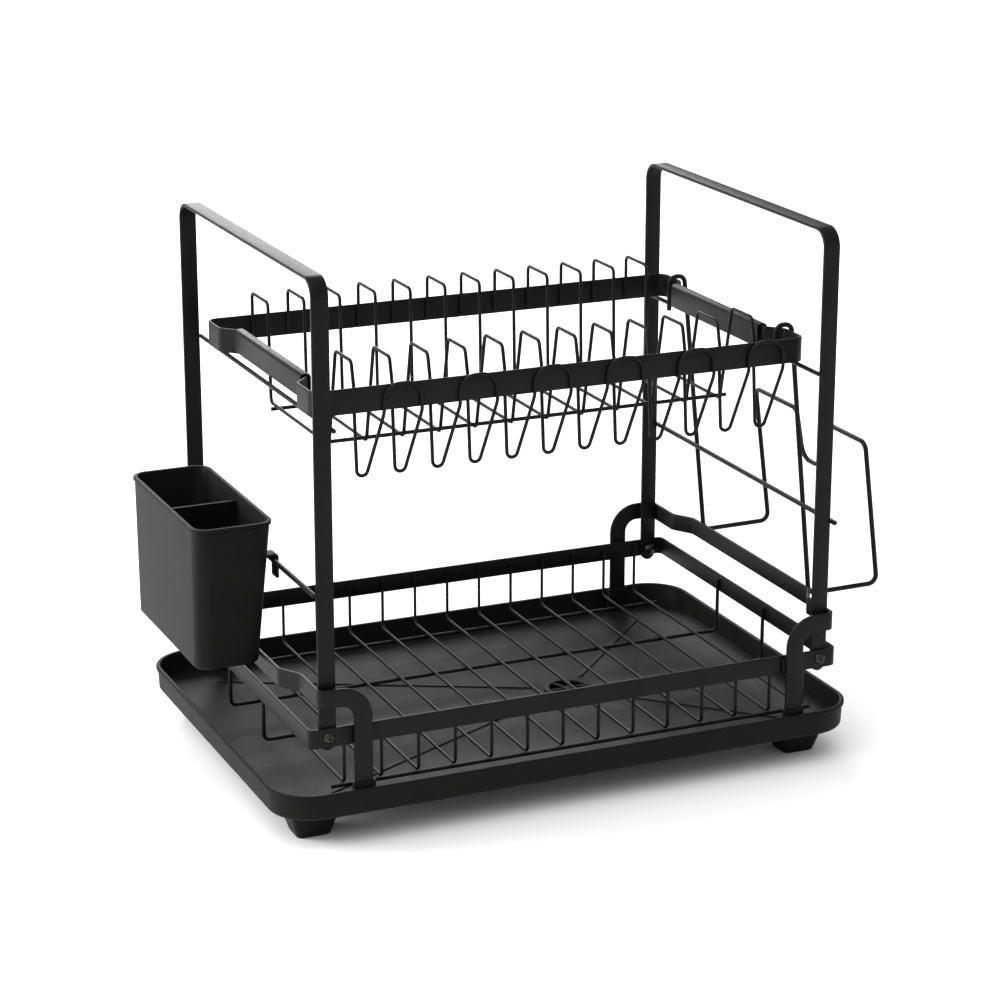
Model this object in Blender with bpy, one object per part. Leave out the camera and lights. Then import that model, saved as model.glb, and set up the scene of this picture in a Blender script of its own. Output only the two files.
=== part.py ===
"""Two-tier dish drying rack: a drip tray with a swivelling spout, a wire basket on two
leg frames, two hoop posts, a lift-off plate rack, a cutlery caddy and a board holder.

Metres, +Z up. X runs along the rack, Y from front to back, and the feet stand on z = 0.
The basket's centre is the working origin; the root empty then puts the middle of the
whole rack on the world's origin.
"""

import math

import bmesh
import bpy
from mathutils import Matrix, Vector

X, Y, Z = Vector((1, 0, 0)), Vector((0, 1, 0)), Vector((0, 0, 1))
SIDES = (("left", -1), ("right", 1))
ENDS = (("front", -1), ("back", 1))

GAP = 0.0003  # between pieces that touch or are welded
RUN = 0.0004  # round a screw in its hole, and round the strainer in the spout

# Drip tray
TRAY_MARGIN = (0.0436, 0.0295)  # how much longer and wider than the basket's band
TRAY_SHIFT = (-0.0057, 0.0015)  # from the basket's centre to the tray's
TRAY_CORNER = 0.036
TRAY_RIM = 0.0460  # height of the rim above the table
TRAY_UNDERSIDE = 0.0250
TRAY_FLOOR = 0.0030  # thickness
TRAY_WALL = 0.0024
TRAY_LIP = 0.0012
TRAY_LIP_DEPTH = 0.0035
TRAY_DRAFT = 0.0008
TRAY_BEND = 0.0030  # radius between floor and wall, outside
TRAY_FILLET = 0.0018  # the same, inside
FOOT_TOP = (0.042, 0.036)
FOOT_BOTTOM = (0.027, 0.024)
FOOT_PLACE = (0.2085, 0.1270)  # from the tray's centre
FOOT_CORNER = 0.0040
RIB_WIDTH = 0.0030
RIB_HEIGHT = 0.0009
RIB_START = 0.030  # from the drain's centre
RIB_END = (0.196, 0.130)
DRAIN_PLACE = (0.0600, 0.0)
DRAIN_HOLE = 0.0175  # radius

# Strainer and spout
STRAINER_FLANGE = 0.0205
STRAINER_THICKNESS = 0.0014
STRAINER_SLEEVE = 0.0168  # outer radius
STRAINER_WALL = 0.0014
STRAINER_BAR = 0.0022
STRAINER_REACH = 0.0090  # below the tray's floor
SPOUT_CUP = 0.0225
SPOUT_WALL = 0.0016
SPOUT_WIDTH = 0.030
SPOUT_REACH = 0.190
SPOUT_DEPTH = 0.0135  # below the tray's floor

# Wire basket
BASKET_LENGTH = 0.4470
BASKET_WIDTH = 0.3100
BAND_HEIGHT = 0.0150
BAND_THICKNESS = 0.0020
BAND_CORNER = 0.0050
BAND_MIDDLE = 0.0855
WIRE_COUNT = 14
WIRE_END_ROOM = 0.0285  # from the band's end to the first wire: a pitch of 30 mm
BASKET_WIRE = 0.0025
BASKET_WIRE_TOP = 0.0890
BASKET_FLOOR = 0.0460
WIRE_BEND = 0.0050
RAIL = 0.0030
RAIL_STUB = 0.0090
FRONT_RAIL_INSET = 0.0055  # from the inside of the band to the rail
BACK_RAIL_INSET = 0.0300  # from the outside of the band
LONG_WIRE_Y = 0.0400

# Leg frames
LEG_BAR_WIDTH = 0.0145
LEG_BAR_THICKNESS = 0.0025
LEG_INSET = 0.0410  # from the basket's end
LEG_OFFSET = 0.0033  # from the band to the leg
SIDE_BAR_MIDDLE = 0.1180
ARCH_RADIUS = 0.0175
SIDE_BEND = 0.0050
HANDLE_OUT = 0.0110
HANDLE_START = 0.1190
HANDLE_END = 0.1010
HANDLE_BEND = 0.0080
CAP_WIDTH = 0.0178
CAP_THICKNESS = 0.0050
CAP_HEIGHT = 0.0210
CAP_FLOOR = 0.0020
SPACER_SIZE = (0.0120, 0.0105)
SPACER_OVERHANG = 0.0020

# Hoop posts
HOOP_INSET = 0.0155  # from the basket's end
HOOP_TOP = 0.4330
HOOP_FOOT = 0.0750
HOOP_BAR_WIDTH = 0.0135
HOOP_BAR_THICKNESS = 0.0028
HOOP_CORNER = 0.0150
SUPPORT_WIRE = 0.0035
SUPPORT_HEIGHT = 0.3202
SUPPORT_STUB = 0.0005  # beyond the post
CROSS_WIRE = 0.0040
CROSS_HEIGHT = 0.1980
CROSS_STUB = 0.0030
SCREW_RADIUS = 0.0020
SCREW_HEAD = 0.0046
SCREW_HEAD_HEIGHT = 0.0024
HOLE_CUTTER = 0.0060  # half its length, more than band and post together
NUT_RADIUS = 0.0046
NUT_LENGTH = 0.0062
NUT_ROOM = 0.0036  # thread depth

# Plate rack
RACK_END_ROOM = 0.0030  # from the hoops' middle plane to the band
RACK_WIDTH = 0.2440
RACK_BAND_HEIGHT = 0.0195
RACK_NECK = 0.0120  # how far the band steps in under the grips
RACK_STEP = (0.0900, 0.0770)
RACK_CORNER = 0.0080
RACK_STEP_BEND = 0.0060
GRIP_LENGTH = 0.1500
GRIP_SHEET = 0.0012
GRIP_ROOM = 0.0022  # on each side of the band
GRIP_DEPTH = 0.0175
GRIP_BEND = 0.0024
DIVIDER_COUNT = 12
DIVIDER_END_ROOM = 0.03835  # from the band's end to the first divider: a pitch of 30.3 mm
DIVIDER_WIRE = 0.0028
DIVIDER_BEND = 0.0045
DIVIDER_FLOOR = 0.2798
BACK_TOP = 0.3605
BACK_TOP_Y = 0.0800
BACK_FOOT_Y = 0.0775
FRONT_TOP = 0.3573
FRONT_TOP_Y = (-0.0710, -0.1035)
FRONT_FOOT_Y = -0.0540
FRONT_LEG_Y = -0.1085  # behind the band, which the wires pass without touching
LEG_TURN = (0.0100, 0.0200)  # radii above and below the band's height
V_BOTTOM = 0.2720
V_LEAN = -0.0010  # where the V reaches its bottom on the left, from the divider
V_BOTTOM_WIDTH = 0.0075
V_BOTTOM_Y = -0.1150
V_ARM = 0.0177  # the V's other arm at the band, from the divider
V_BEND = 0.0042
HUMP_TOP = 0.3420
HUMP_DRAFT = 0.0006
HUMP_ROUND = 0.4016  # bend radius over the hump's width
BAND_LAP = 0.0020  # how far wire ends and bends stand past the band's edges
RACK_RAIL = 0.0031
RACK_RAIL_Y = 0.0690
RACK_RAIL_STUB = 0.0030

# Cutlery caddy
CADDY_DEPTH = 0.0620  # away from the basket, at the rim
CADDY_FRONT = -0.0750
CADDY_BACK = 0.0890
CADDY_TOP = 0.2317
CADDY_BOTTOM = 0.1195
CADDY_ROOM = 0.0014  # between its foot and the side bar's handle
CADDY_TAPER = 0.0030  # of the front and back faces
CADDY_CORNER = 0.0120
CADDY_WALL = 0.0022
CADDY_RIM = 0.0012
CADDY_RIM_DEPTH = 0.0040
CADDY_DIVIDER_Y = 0.0060
CADDY_DIVIDER_DROP = 0.0060
HOOK_WIDTH = 0.0120
HOOK_THICKNESS = 0.0022
HOOK_DROP = 0.0180
HOOK_INSET = 0.0160
HOOK_BEND = 0.0016

# Board holder
HOLDER_WIRE = 0.0040
HOLDER_Y = 0.0920
HOLDER_SEAT = 0.0034  # the hook's middle line above the rack band's top edge
HOLDER_HOOK_END = 0.3165
HOLDER_PLAY = 0.0006  # to the support wire
HOLDER_SHOULDER = (-0.0043, 0.3140)  # (x from the side bars, height), like the four below
HOLDER_FOOT = (0.0162, 0.1170)
HOLDER_OUTER = (0.0802, 0.1175)
HOLDER_TOP = (0.0642, 0.2390)
HOLDER_VALLEY = (0.0687, 0.1970)
HOLDER_VALLEY_Y = (0.0205, 0.0150)
HOLDER_HOOK_BEND = 0.0062
HOLDER_SHOULDER_BEND = 0.0300
HOLDER_SHOULDER_STEP = 0.0035  # the shoulder stands this far outside the hook
HOLDER_BEND = 0.0070
HOLDER_VALLEY_BEND = 0.0130

BLACK_STEEL = ("powder_coated_steel", (0.012, 0.012, 0.012), 0.52, 0.0)
BLACK_PLASTIC = ("moulded_plastic", (0.016, 0.016, 0.016), 0.60, 0.0)
BLACK_SCREW = ("blackened_screw", (0.020, 0.020, 0.020), 0.38, 1.0)

# Sizes that follow from the ones above
TRAY_LENGTH = BASKET_LENGTH + TRAY_MARGIN[0]
TRAY_WIDTH = BASKET_WIDTH + TRAY_MARGIN[1]
FLOOR_TOP = TRAY_UNDERSIDE + TRAY_FLOOR
WIRE_PITCH = (BASKET_LENGTH - 2 * WIRE_END_ROOM) / (WIRE_COUNT - 1)
BAND_INSIDE_X = BASKET_LENGTH / 2 - BAND_THICKNESS
BAND_INSIDE_Y = BASKET_WIDTH / 2 - BAND_THICKNESS
LEG_X = BASKET_LENGTH / 2 - LEG_INSET
LEG_Y = BASKET_WIDTH / 2 + LEG_OFFSET + LEG_BAR_THICKNESS / 2
HOOP_X = BASKET_LENGTH / 2 - HOOP_INSET
POST_Y = BAND_INSIDE_Y - GAP - HOOP_BAR_THICKNESS / 2
POST_EDGE = HOOP_X + HOOP_BAR_WIDTH / 2
SIDE_BAR_X = POST_EDGE + GAP + LEG_BAR_THICKNESS / 2
CROSS_X = POST_EDGE + GAP + CROSS_WIRE / 2
SUPPORT_X = HOOP_X - HOOP_BAR_WIDTH / 2 - GAP - SUPPORT_WIRE / 2
FLOOR_WIRE_UNDER = BASKET_FLOOR - BASKET_WIRE / 2 - GAP
RACK_LENGTH = 2 * (HOOP_X - RACK_END_ROOM)
RACK_BOTTOM = SUPPORT_HEIGHT + SUPPORT_WIRE / 2 + GAP
RACK_TOP = RACK_BOTTOM + RACK_BAND_HEIGHT
DIVIDER_PITCH = (RACK_LENGTH - 2 * DIVIDER_END_ROOM) / (DIVIDER_COUNT - 1)
CADDY_RIGHT = -(CROSS_X + CROSS_WIRE / 2)
CADDY_LEFT = CADDY_RIGHT - CADDY_DEPTH
CADDY_LEAN = SIDE_BAR_X + LEG_BAR_THICKNESS / 2 + HANDLE_OUT + CADDY_ROOM + CADDY_RIGHT
HOLDER_HOOK_X = SUPPORT_X - SUPPORT_WIRE / 2 - HOLDER_WIRE / 2 - HOLDER_PLAY
HOLDER_HOOK_TOP = RACK_TOP + HOLDER_SEAT
HOLDER_REACH = SIDE_BAR_X + HOLDER_OUTER[0] + HOLDER_WIRE / 2
MIDDLE_X = (CADDY_LEFT - CADDY_RIM + HOLDER_REACH) / 2
MIDDLE_Y = TRAY_SHIFT[1]


def clear_scene():
    for thing in list(bpy.data.objects):
        bpy.data.objects.remove(thing)


def finish(piece, look):
    """Gives the piece a Principled material of its own."""
    kind, colour, roughness, metallic = look
    material = bpy.data.materials.new(f"{kind}_{piece.name}")
    material.use_nodes = True
    shader = material.node_tree.nodes["Principled BSDF"]
    shader.inputs["Base Color"].default_value = (*colour, 1)
    shader.inputs["Roughness"].default_value = roughness
    shader.inputs["Metallic"].default_value = metallic
    piece.data.materials.append(material)


def group(name, parent=None, place=(0, 0, 0)):
    """An empty that carries the pieces of one moving body."""
    empty = bpy.data.objects.new(name, None)
    bpy.context.scene.collection.objects.link(empty)
    empty.parent = parent
    empty.location = place
    return empty


def add_piece(name, data, look, parent):
    piece = bpy.data.objects.new(name, data)
    bpy.context.scene.collection.objects.link(piece)
    piece.parent = parent
    if look:
        finish(piece, look)
    return piece


def rounded_path(corners, radii, steps=3, closed=False):
    """The points of a run through the corners, each rounded to its radius.

    radii is one number for all corners, or one for each corner that is rounded.
    """
    corners = [Vector(corner) for corner in corners]
    count = len(corners)
    turning = range(count) if closed else range(1, count - 1)
    if not isinstance(radii, (list, tuple)):
        radii = [radii] * len(turning)
    path = [] if closed else [corners[0]]
    for index, radius in zip(turning, radii):
        corner = corners[index]
        back = (corners[index - 1] - corner).normalized()
        ahead = (corners[(index + 1) % count] - corner).normalized()
        half = back.angle(ahead) / 2
        middle = (back + ahead).normalized()
        centre = corner + middle * (radius / math.sin(half))
        across = (back - middle * back.dot(middle)).normalized()
        sweep = math.pi - 2 * half
        for step in range(steps + 1):
            turn = sweep / 2 - sweep * step / steps
            path.append(centre - middle * radius * math.cos(turn) + across * radius * math.sin(turn))
    if not closed:
        path.append(corners[-1])
    return path


def add_wire(name, path, diameter, look, parent, roundness=1):
    """A round wire along the path, with closed ends."""
    curve = bpy.data.curves.new(name, "CURVE")
    curve.dimensions = "3D"
    curve.bevel_depth = diameter / 2
    curve.bevel_resolution = roundness
    curve.use_fill_caps = True
    curve.render_resolution_u = 0
    spline = curve.splines.new("POLY")
    spline.points.add(len(path) - 1)
    for point, place in zip(spline.points, path):
        point.co = (*place, 1)
    spline.use_smooth = True
    return add_piece(name, curve, look, parent)


def directions(path, closed):
    """The direction of travel at each point of the path."""
    last = len(path) - 1
    found = []
    for index, point in enumerate(path):
        before = path[index - 1] if closed or index > 0 else point
        after = path[(index + 1) % len(path)] if closed or index < last else point
        into = (point - before).normalized() if point != before else (after - point).normalized()
        out = (after - point).normalized() if after != point else into
        found.append((into + out).normalized() / max(0.5, math.cos(into.angle(out) / 2)))
    return found


def bar_frames(path, closed, across):
    """The width and thickness directions of a flat bar at each point.

    A bar with a fixed width direction bends flat; one with none keeps its thickness level,
    so that it can also bend on edge.
    """
    frames = []
    known = None
    for forward in directions(path, closed):
        stretch = forward.length
        forward = forward.normalized()
        side = forward.cross(across or Z)
        if side.length > 0.2:
            side.normalize()
            turns_flat = across is not None or abs(forward.z) < 0.01
            frames.append((side.cross(forward) if not across else across, side, stretch, turns_flat, forward))
            known = side
        else:
            frames.append((None, known, stretch, False, forward))
    known = next(side for _, side, _, _, _ in frames if side)
    tidy = []
    for width, side, stretch, turns_flat, forward in frames:
        if width is None:
            side = side or known
            width = side.cross(forward)
        tidy.append((width * (1 if turns_flat else stretch), side * (stretch if turns_flat else 1)))
    return tidy


def bar_mesh(path, width, thickness, across=None, closed=False, widths=None):
    """A flat bar swept along the path. widths may give each point its own width."""
    bm = bmesh.new()
    rings = []
    for index, (point, (wide, thick)) in enumerate(zip(path, bar_frames(path, closed, across))):
        half = wide * (widths[index] if widths else width) / 2
        skin = thick * thickness / 2
        signs = ((-1, -1), (1, -1), (1, 1), (-1, 1))
        rings.append([bm.verts.new(point + a * half + b * skin) for a, b in signs])
    pairs = list(zip(rings, rings[1:] + rings[:1])) if closed else list(zip(rings, rings[1:]))
    for ring, following in pairs:
        for side in range(4):
            bm.faces.new((ring[side], ring[side - 1], following[side - 1], following[side]))
    if not closed:
        bm.faces.new(rings[0])
        bm.faces.new(reversed(rings[-1]))
    return bm


def solid(name, bm, look, parent, smooth=True):
    """Turns a bmesh into an object, faces pointing out and round faces smooth."""
    bmesh.ops.recalc_face_normals(bm, faces=bm.faces)
    mesh = bpy.data.meshes.new(name)
    bm.to_mesh(mesh)
    bm.free()
    if smooth:
        mesh.shade_smooth()
        mesh.set_sharp_from_angle(angle=math.radians(35))
    return add_piece(name, mesh, look, parent)


def helper(name, bm, parent):
    """A shape that a Boolean joins or cuts, and that isn't a piece itself."""
    tool = solid(name, bm, None, parent, smooth=False)
    tool.hide_render = True
    tool.display_type = "WIRE"
    return tool


def boolean(target, tool, operation):
    modifier = target.modifiers.new(f"{operation.lower()}_{tool.name}", "BOOLEAN")
    modifier.object = tool
    modifier.operation = operation


def block(low, high):
    """A bmesh box between two corners."""
    bm = bmesh.new()
    low, high = Vector(low), Vector(high)
    size = high - low
    matrix = Matrix.Translation((low + high) / 2) @ Matrix.Diagonal((*size, 1))
    bmesh.ops.create_cube(bm, size=1, matrix=matrix)
    return bm


def loft(loops):
    """A bmesh skin through loops of equal length, in order."""
    bm = bmesh.new()
    rings = [[bm.verts.new(point) for point in loop] for loop in loops]
    for ring, following in zip(rings, rings[1:]):
        for index in range(len(ring)):
            bm.faces.new((ring[index - 1], ring[index], following[index], following[index - 1]))
    bm.faces.new(reversed(rings[0]))
    bm.faces.new(rings[-1])
    return bm


def rounded_rectangle(low, high, radius, height, steps=5):
    """A loop of points round a rectangle with round corners, at one height."""
    places = [(high[0], low[1]), (high[0], high[1]), (low[0], high[1]), (low[0], low[1])]
    return rounded_path([(*place, height) for place in places], max(radius, 0.0004), steps, closed=True)


def circle(radius, height, count=24, centre=(0, 0)):
    turns = [2 * math.pi * step / count for step in range(count)]
    middle = Vector((*centre, height))
    return [middle + Vector((math.cos(turn), math.sin(turn), 0)) * radius for turn in turns]


def turned(profile, count=24, axis="Z"):
    """A round solid from (radius, height) pairs, about Z or along Y."""
    bm = loft([circle(radius, height, count) for radius, height in profile])
    if axis == "Y":
        bmesh.ops.rotate(bm, verts=bm.verts, matrix=Matrix.Rotation(math.radians(90), 3, "X"))
    return bm


def move(bm, place):
    bmesh.ops.translate(bm, verts=bm.verts, vec=Vector(place))
    return bm


# --- Drip tray -------------------------------------------------------------


def tray_loop(inset, height):
    """The tray's outline, this far inside its lip."""
    half = Vector((TRAY_LENGTH / 2 - inset, TRAY_WIDTH / 2 - inset))
    middle = Vector(TRAY_SHIFT)
    return rounded_rectangle(middle - half, middle + half, TRAY_CORNER - inset, height, steps=6)


def tray_body():
    outside = TRAY_LIP + TRAY_DRAFT
    inside = outside + TRAY_WALL
    under_lip = TRAY_RIM - TRAY_LIP_DEPTH
    edge = 0.0007
    bend = TRAY_BEND * (1 - math.sqrt(0.5))
    fillet = TRAY_FILLET * (1 - math.sqrt(0.5))
    steps = [
        (outside + TRAY_BEND, TRAY_UNDERSIDE),
        (outside + bend, TRAY_UNDERSIDE + bend),
        (outside, TRAY_UNDERSIDE + TRAY_BEND),
        (TRAY_LIP, under_lip),
        (0, under_lip),
        (0, TRAY_RIM - edge),
        (edge, TRAY_RIM),
        (inside - TRAY_DRAFT - edge, TRAY_RIM),
        (inside - TRAY_DRAFT, TRAY_RIM - edge),
        (inside, FLOOR_TOP + TRAY_FILLET),
        (inside + fillet, FLOOR_TOP + fillet),
        (inside + TRAY_FILLET, FLOOR_TOP),
    ]
    return loft([tray_loop(inset, height) for inset, height in steps])


def foot_shape(side, end):
    """One tapered foot, which runs a little way up into the tray's floor."""
    centre = Vector((TRAY_SHIFT[0] + side * FOOT_PLACE[0], TRAY_SHIFT[1] + end * FOOT_PLACE[1]))
    loops = []
    inside_floor = TRAY_UNDERSIDE + TRAY_FLOOR / 3
    for size, height in ((FOOT_BOTTOM, 0), (FOOT_TOP, TRAY_UNDERSIDE), (FOOT_TOP, inside_floor)):
        half = Vector(size) / 2
        loops.append(rounded_rectangle(centre - half, centre + half, FOOT_CORNER, height, steps=2))
    return loft(loops)


def rib_shape(side, end):
    """A raised line on the tray's floor, from the drain towards one corner."""
    start = Vector((*DRAIN_PLACE, 0))
    corner = Vector((TRAY_SHIFT[0] + side * RIB_END[0], TRAY_SHIFT[1] + end * RIB_END[1], 0))
    along = (corner - start).normalized()
    path = [start + along * RIB_START, corner]
    middle = FLOOR_TOP + RIB_HEIGHT / 2 - TRAY_FLOOR / 4
    path = [Vector((place.x, place.y, middle)) for place in path]
    return bar_mesh(path, RIB_HEIGHT + TRAY_FLOOR / 2, RIB_WIDTH, across=Z)


def make_drip_tray(body):
    tray = solid("drip_tray", tray_body(), BLACK_PLASTIC, body)
    for side_name, side in SIDES:
        for end_name, end in ENDS:
            boolean(tray, helper(f"foot_shape_{end_name}_{side_name}", foot_shape(side, end), body), "UNION")
            boolean(tray, helper(f"rib_shape_{end_name}_{side_name}", rib_shape(side, end), body), "UNION")
    hole = move(turned([(DRAIN_HOLE, 0), (DRAIN_HOLE, TRAY_RIM)], 32), (*DRAIN_PLACE, 0))
    boolean(tray, helper("drain_hole_cutter", hole, body), "DIFFERENCE")


def make_drain_strainer(body):
    """The flanged sleeve that holds the spout, with a cross of bars over its mouth."""
    bottom = FLOOR_TOP - STRAINER_REACH
    seat = FLOOR_TOP + GAP
    top = seat + STRAINER_THICKNESS
    bore = STRAINER_SLEEVE - STRAINER_WALL
    outline = [
        (bore, bottom),
        (STRAINER_SLEEVE, bottom),
        (STRAINER_SLEEVE, seat),
        (STRAINER_FLANGE, seat),
        (STRAINER_FLANGE, top - STRAINER_THICKNESS / 2),
        (STRAINER_FLANGE - STRAINER_THICKNESS / 2, top),
        (bore, top),
    ]
    bm = bmesh.new()
    rings = [[bm.verts.new(point) for point in circle(radius, height, 32)] for radius, height in outline]
    for ring, following in zip(rings, rings[1:] + rings[:1]):
        for index in range(len(ring)):
            bm.faces.new((ring[index - 1], ring[index], following[index], following[index - 1]))
    strainer = solid("drain_strainer", bm, BLACK_PLASTIC, body)
    strainer.location = (*DRAIN_PLACE, 0)
    reach = bore + STRAINER_WALL / 2
    for number in range(3):
        bar = block((-reach, -STRAINER_BAR / 2, seat - GAP), (reach, STRAINER_BAR / 2, top - GAP))
        bmesh.ops.rotate(bar, verts=bar.verts, matrix=Matrix.Rotation(math.pi * number / 3, 3, "Z"))
        tool = helper(f"strainer_bar_{number + 1}", bar, body)
        tool.location = strainer.location
        boolean(strainer, tool, "UNION")


def spout_outline(grow, height):
    """The keyhole outline of the spout: round the drain, then a straight trough."""
    reach = SPOUT_REACH + grow
    width = SPOUT_WIDTH / 2 + grow
    radius = SPOUT_CUP + grow
    join = math.asin(min(0.99, width / radius))
    points = []
    steps = 20
    for step in range(steps + 1):
        turn = -(math.pi - join) + 2 * (math.pi - join) * step / steps
        points.append(Vector((radius * math.cos(turn), radius * math.sin(turn), height)))
    points.append(Vector((-reach, width, height)))
    points.append(Vector((-reach, -width, height)))
    return points


def make_drain_spout(body):
    """An open trough that swings round the strainer, under the tray."""
    top = TRAY_UNDERSIDE - GAP
    bottom = TRAY_UNDERSIDE - SPOUT_DEPTH
    floor = bottom + SPOUT_WALL
    outer = loft([spout_outline(0, bottom), spout_outline(0, top)])
    spout = solid("drain_spout", outer, BLACK_PLASTIC, body, smooth=False)
    spout.location = (*DRAIN_PLACE, 0)
    room = loft([spout_outline(-SPOUT_WALL, height) for height in (floor, TRAY_RIM)])
    half = SPOUT_WIDTH / 2 - SPOUT_WALL
    mouth = block((-SPOUT_REACH - SPOUT_WIDTH, -half, floor), (-SPOUT_WIDTH, half, TRAY_RIM))
    for tool in (helper("spout_trough_cutter", room, body), helper("spout_mouth_cutter", mouth, body)):
        tool.location = spout.location
        boolean(spout, tool, "DIFFERENCE")


# --- Basket ----------------------------------------------------------------


def band_path(length, width, corner, height):
    half = Vector((length / 2, width / 2))
    return rounded_rectangle(-half, half, corner, height, steps=4)


def screw_places():
    for side_name, side in SIDES:
        for end_name, end in ENDS:
            yield f"{end_name}_{side_name}", side * HOOP_X, end


def screw_hole(x, end):
    """A cutter through one band and the post behind it."""
    radius = SCREW_RADIUS + RUN
    hole = turned([(radius, -HOLE_CUTTER), (radius, HOLE_CUTTER)], 16, axis="Y")
    return move(hole, (x, end * BAND_INSIDE_Y, BAND_MIDDLE))


def make_basket_band(body):
    inner = BAND_THICKNESS
    path = band_path(BASKET_LENGTH - inner, BASKET_WIDTH - inner, BAND_CORNER, BAND_MIDDLE)
    bm = bar_mesh(path, BAND_HEIGHT, BAND_THICKNESS, across=Z, closed=True)
    band = solid("basket_band", bm, BLACK_STEEL, body)
    for name, x, end in screw_places():
        boolean(band, helper(f"band_hole_cutter_{name}", screw_hole(x, end), body), "DIFFERENCE")


def make_basket_wires(body):
    """The U-shaped wires that run from front to back, and the wires they lie on."""
    reach = BAND_INSIDE_Y - GAP - BASKET_WIRE / 2
    for number in range(WIRE_COUNT):
        x = (number - (WIRE_COUNT - 1) / 2) * WIRE_PITCH
        low, high = BASKET_FLOOR, BASKET_WIRE_TOP
        ends = [(-reach, high), (-reach, low), (reach, low), (reach, high)]
        path = rounded_path([(x, y, z) for y, z in ends], WIRE_BEND)
        add_wire(f"basket_wire_{number + 1:02d}", path, BASKET_WIRE, BLACK_STEEL, body)
    height = FLOOR_WIRE_UNDER - RAIL / 2
    side = BAND_INSIDE_X - GAP - RAIL / 2
    for end_name, end in ENDS:
        ends = [(-side, BASKET_WIRE_TOP), (-side, height), (side, height), (side, BASKET_WIRE_TOP)]
        path = rounded_path([(x, end * LONG_WIRE_Y, z) for x, z in ends], WIRE_BEND)
        add_wire(f"long_wire_{end_name}", path, RAIL, BLACK_STEEL, body)
    half = (WIRE_COUNT - 1) / 2 * WIRE_PITCH + RAIL_STUB
    front = -(BAND_INSIDE_Y - FRONT_RAIL_INSET)
    for name, y in (("front_rail", front), ("back_rail", BASKET_WIDTH / 2 - BACK_RAIL_INSET)):
        lift = bend_lift(reach - abs(y))
        path = [Vector((-half, y, height + lift)), Vector((half, y, height + lift))]
        add_wire(name, path, RAIL, BLACK_STEEL, body)


def bend_lift(inset):
    """How far a rail under the floor wires rises where they begin to bend up."""
    if inset >= WIRE_BEND:
        return 0
    near = WIRE_BEND + BASKET_WIRE / 2 + GAP + RAIL / 2
    return near - math.sqrt(near**2 - (WIRE_BEND - inset) ** 2)


def make_leg_frame(name, side, body):
    """One flat bar: front leg, arch, side bar with its carry handle, and back leg."""
    foot = FLOOR_TOP + GAP + CAP_FLOOR + GAP
    z = SIDE_BAR_MIDDLE
    out = SIDE_BAR_X + HANDLE_OUT
    half = [
        (LEG_X, LEG_Y, foot),
        (LEG_X, LEG_Y, z),
        (SIDE_BAR_X, LEG_Y, z),
        (SIDE_BAR_X, HANDLE_START, z),
        (out, HANDLE_END, z),
    ]
    corners = [(side * x, -y, z) for x, y, z in half] + [(side * x, y, z) for x, y, z in reversed(half)]
    bends = [ARCH_RADIUS, SIDE_BEND, HANDLE_BEND, HANDLE_BEND]
    path = rounded_path(corners, bends + bends[::-1], steps=5)
    solid(name, bar_mesh(path, LEG_BAR_WIDTH, LEG_BAR_THICKNESS), BLACK_STEEL, body)


def make_leg_cap(name, side, end, body):
    """A boot with a pocket for the leg's end."""
    bottom = FLOOR_TOP + GAP
    centre = Vector((side * LEG_X, end * LEG_Y))

    def loop(width, thickness, height, corner):
        half = Vector((width / 2, thickness / 2))
        return rounded_rectangle(centre - half, centre + half, corner, height, steps=2)

    pocket = (LEG_BAR_WIDTH + 2 * GAP, LEG_BAR_THICKNESS + 2 * GAP)
    top = bottom + CAP_HEIGHT
    loops = [
        loop(CAP_WIDTH - 0.0008, CAP_THICKNESS - 0.0008, bottom, 0.0008),
        loop(CAP_WIDTH, CAP_THICKNESS, bottom + 0.0008, 0.0012),
        loop(CAP_WIDTH, CAP_THICKNESS, top, 0.0012),
        loop(*pocket, top, 0.0),
        loop(*pocket, bottom + CAP_FLOOR, 0.0),
    ]
    solid(name, loft(loops), BLACK_PLASTIC, body)


def make_spacer(name, side, end, body):
    """The tab that is welded between the band and the leg."""
    near = BASKET_WIDTH / 2 + GAP
    far = LEG_Y - LEG_BAR_THICKNESS / 2 - GAP
    left = LEG_X - LEG_BAR_WIDTH / 2 - SPACER_OVERHANG
    xs = sorted((side * left, side * (left + SPACER_SIZE[0])))
    ys = sorted((end * near, end * far))
    half = SPACER_SIZE[1] / 2
    tab = block((xs[0], ys[0], BAND_MIDDLE - half), (xs[1], ys[1], BAND_MIDDLE + half))
    solid(name, tab, BLACK_STEEL, body)


def make_leg_frames(body):
    for side_name, side in SIDES:
        make_leg_frame(f"leg_frame_{side_name}", side, body)
        for end_name, end in ENDS:
            make_leg_cap(f"leg_cap_{end_name}_{side_name}", side, end, body)
            make_spacer(f"spacer_{end_name}_{side_name}", side, end, body)


# --- Hoop posts ------------------------------------------------------------


def round_end(path, width, steps=4):
    """Adds points at both ends of a path, and their widths, for half-round bar ends."""
    radius = width / 2
    widths = [width] * len(path)
    for end in (0, -1):
        tip = path[end]
        inward = (path[1] - path[0]).normalized() if end == 0 else (path[-2] - path[-1]).normalized()
        places, sizes = [], []
        for step in range(steps + 1):
            turn = math.pi / 2 * step / steps
            places.append(tip + inward * radius * (1 - math.sin(turn)))
            sizes.append(width * max(0.16, math.cos(turn)))
        if end == 0:
            path, widths = places[::-1] + path[1:], sizes[::-1] + widths[1:]
        else:
            path, widths = path[:-1] + places, widths[:-1] + sizes
    return path, widths


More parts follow.
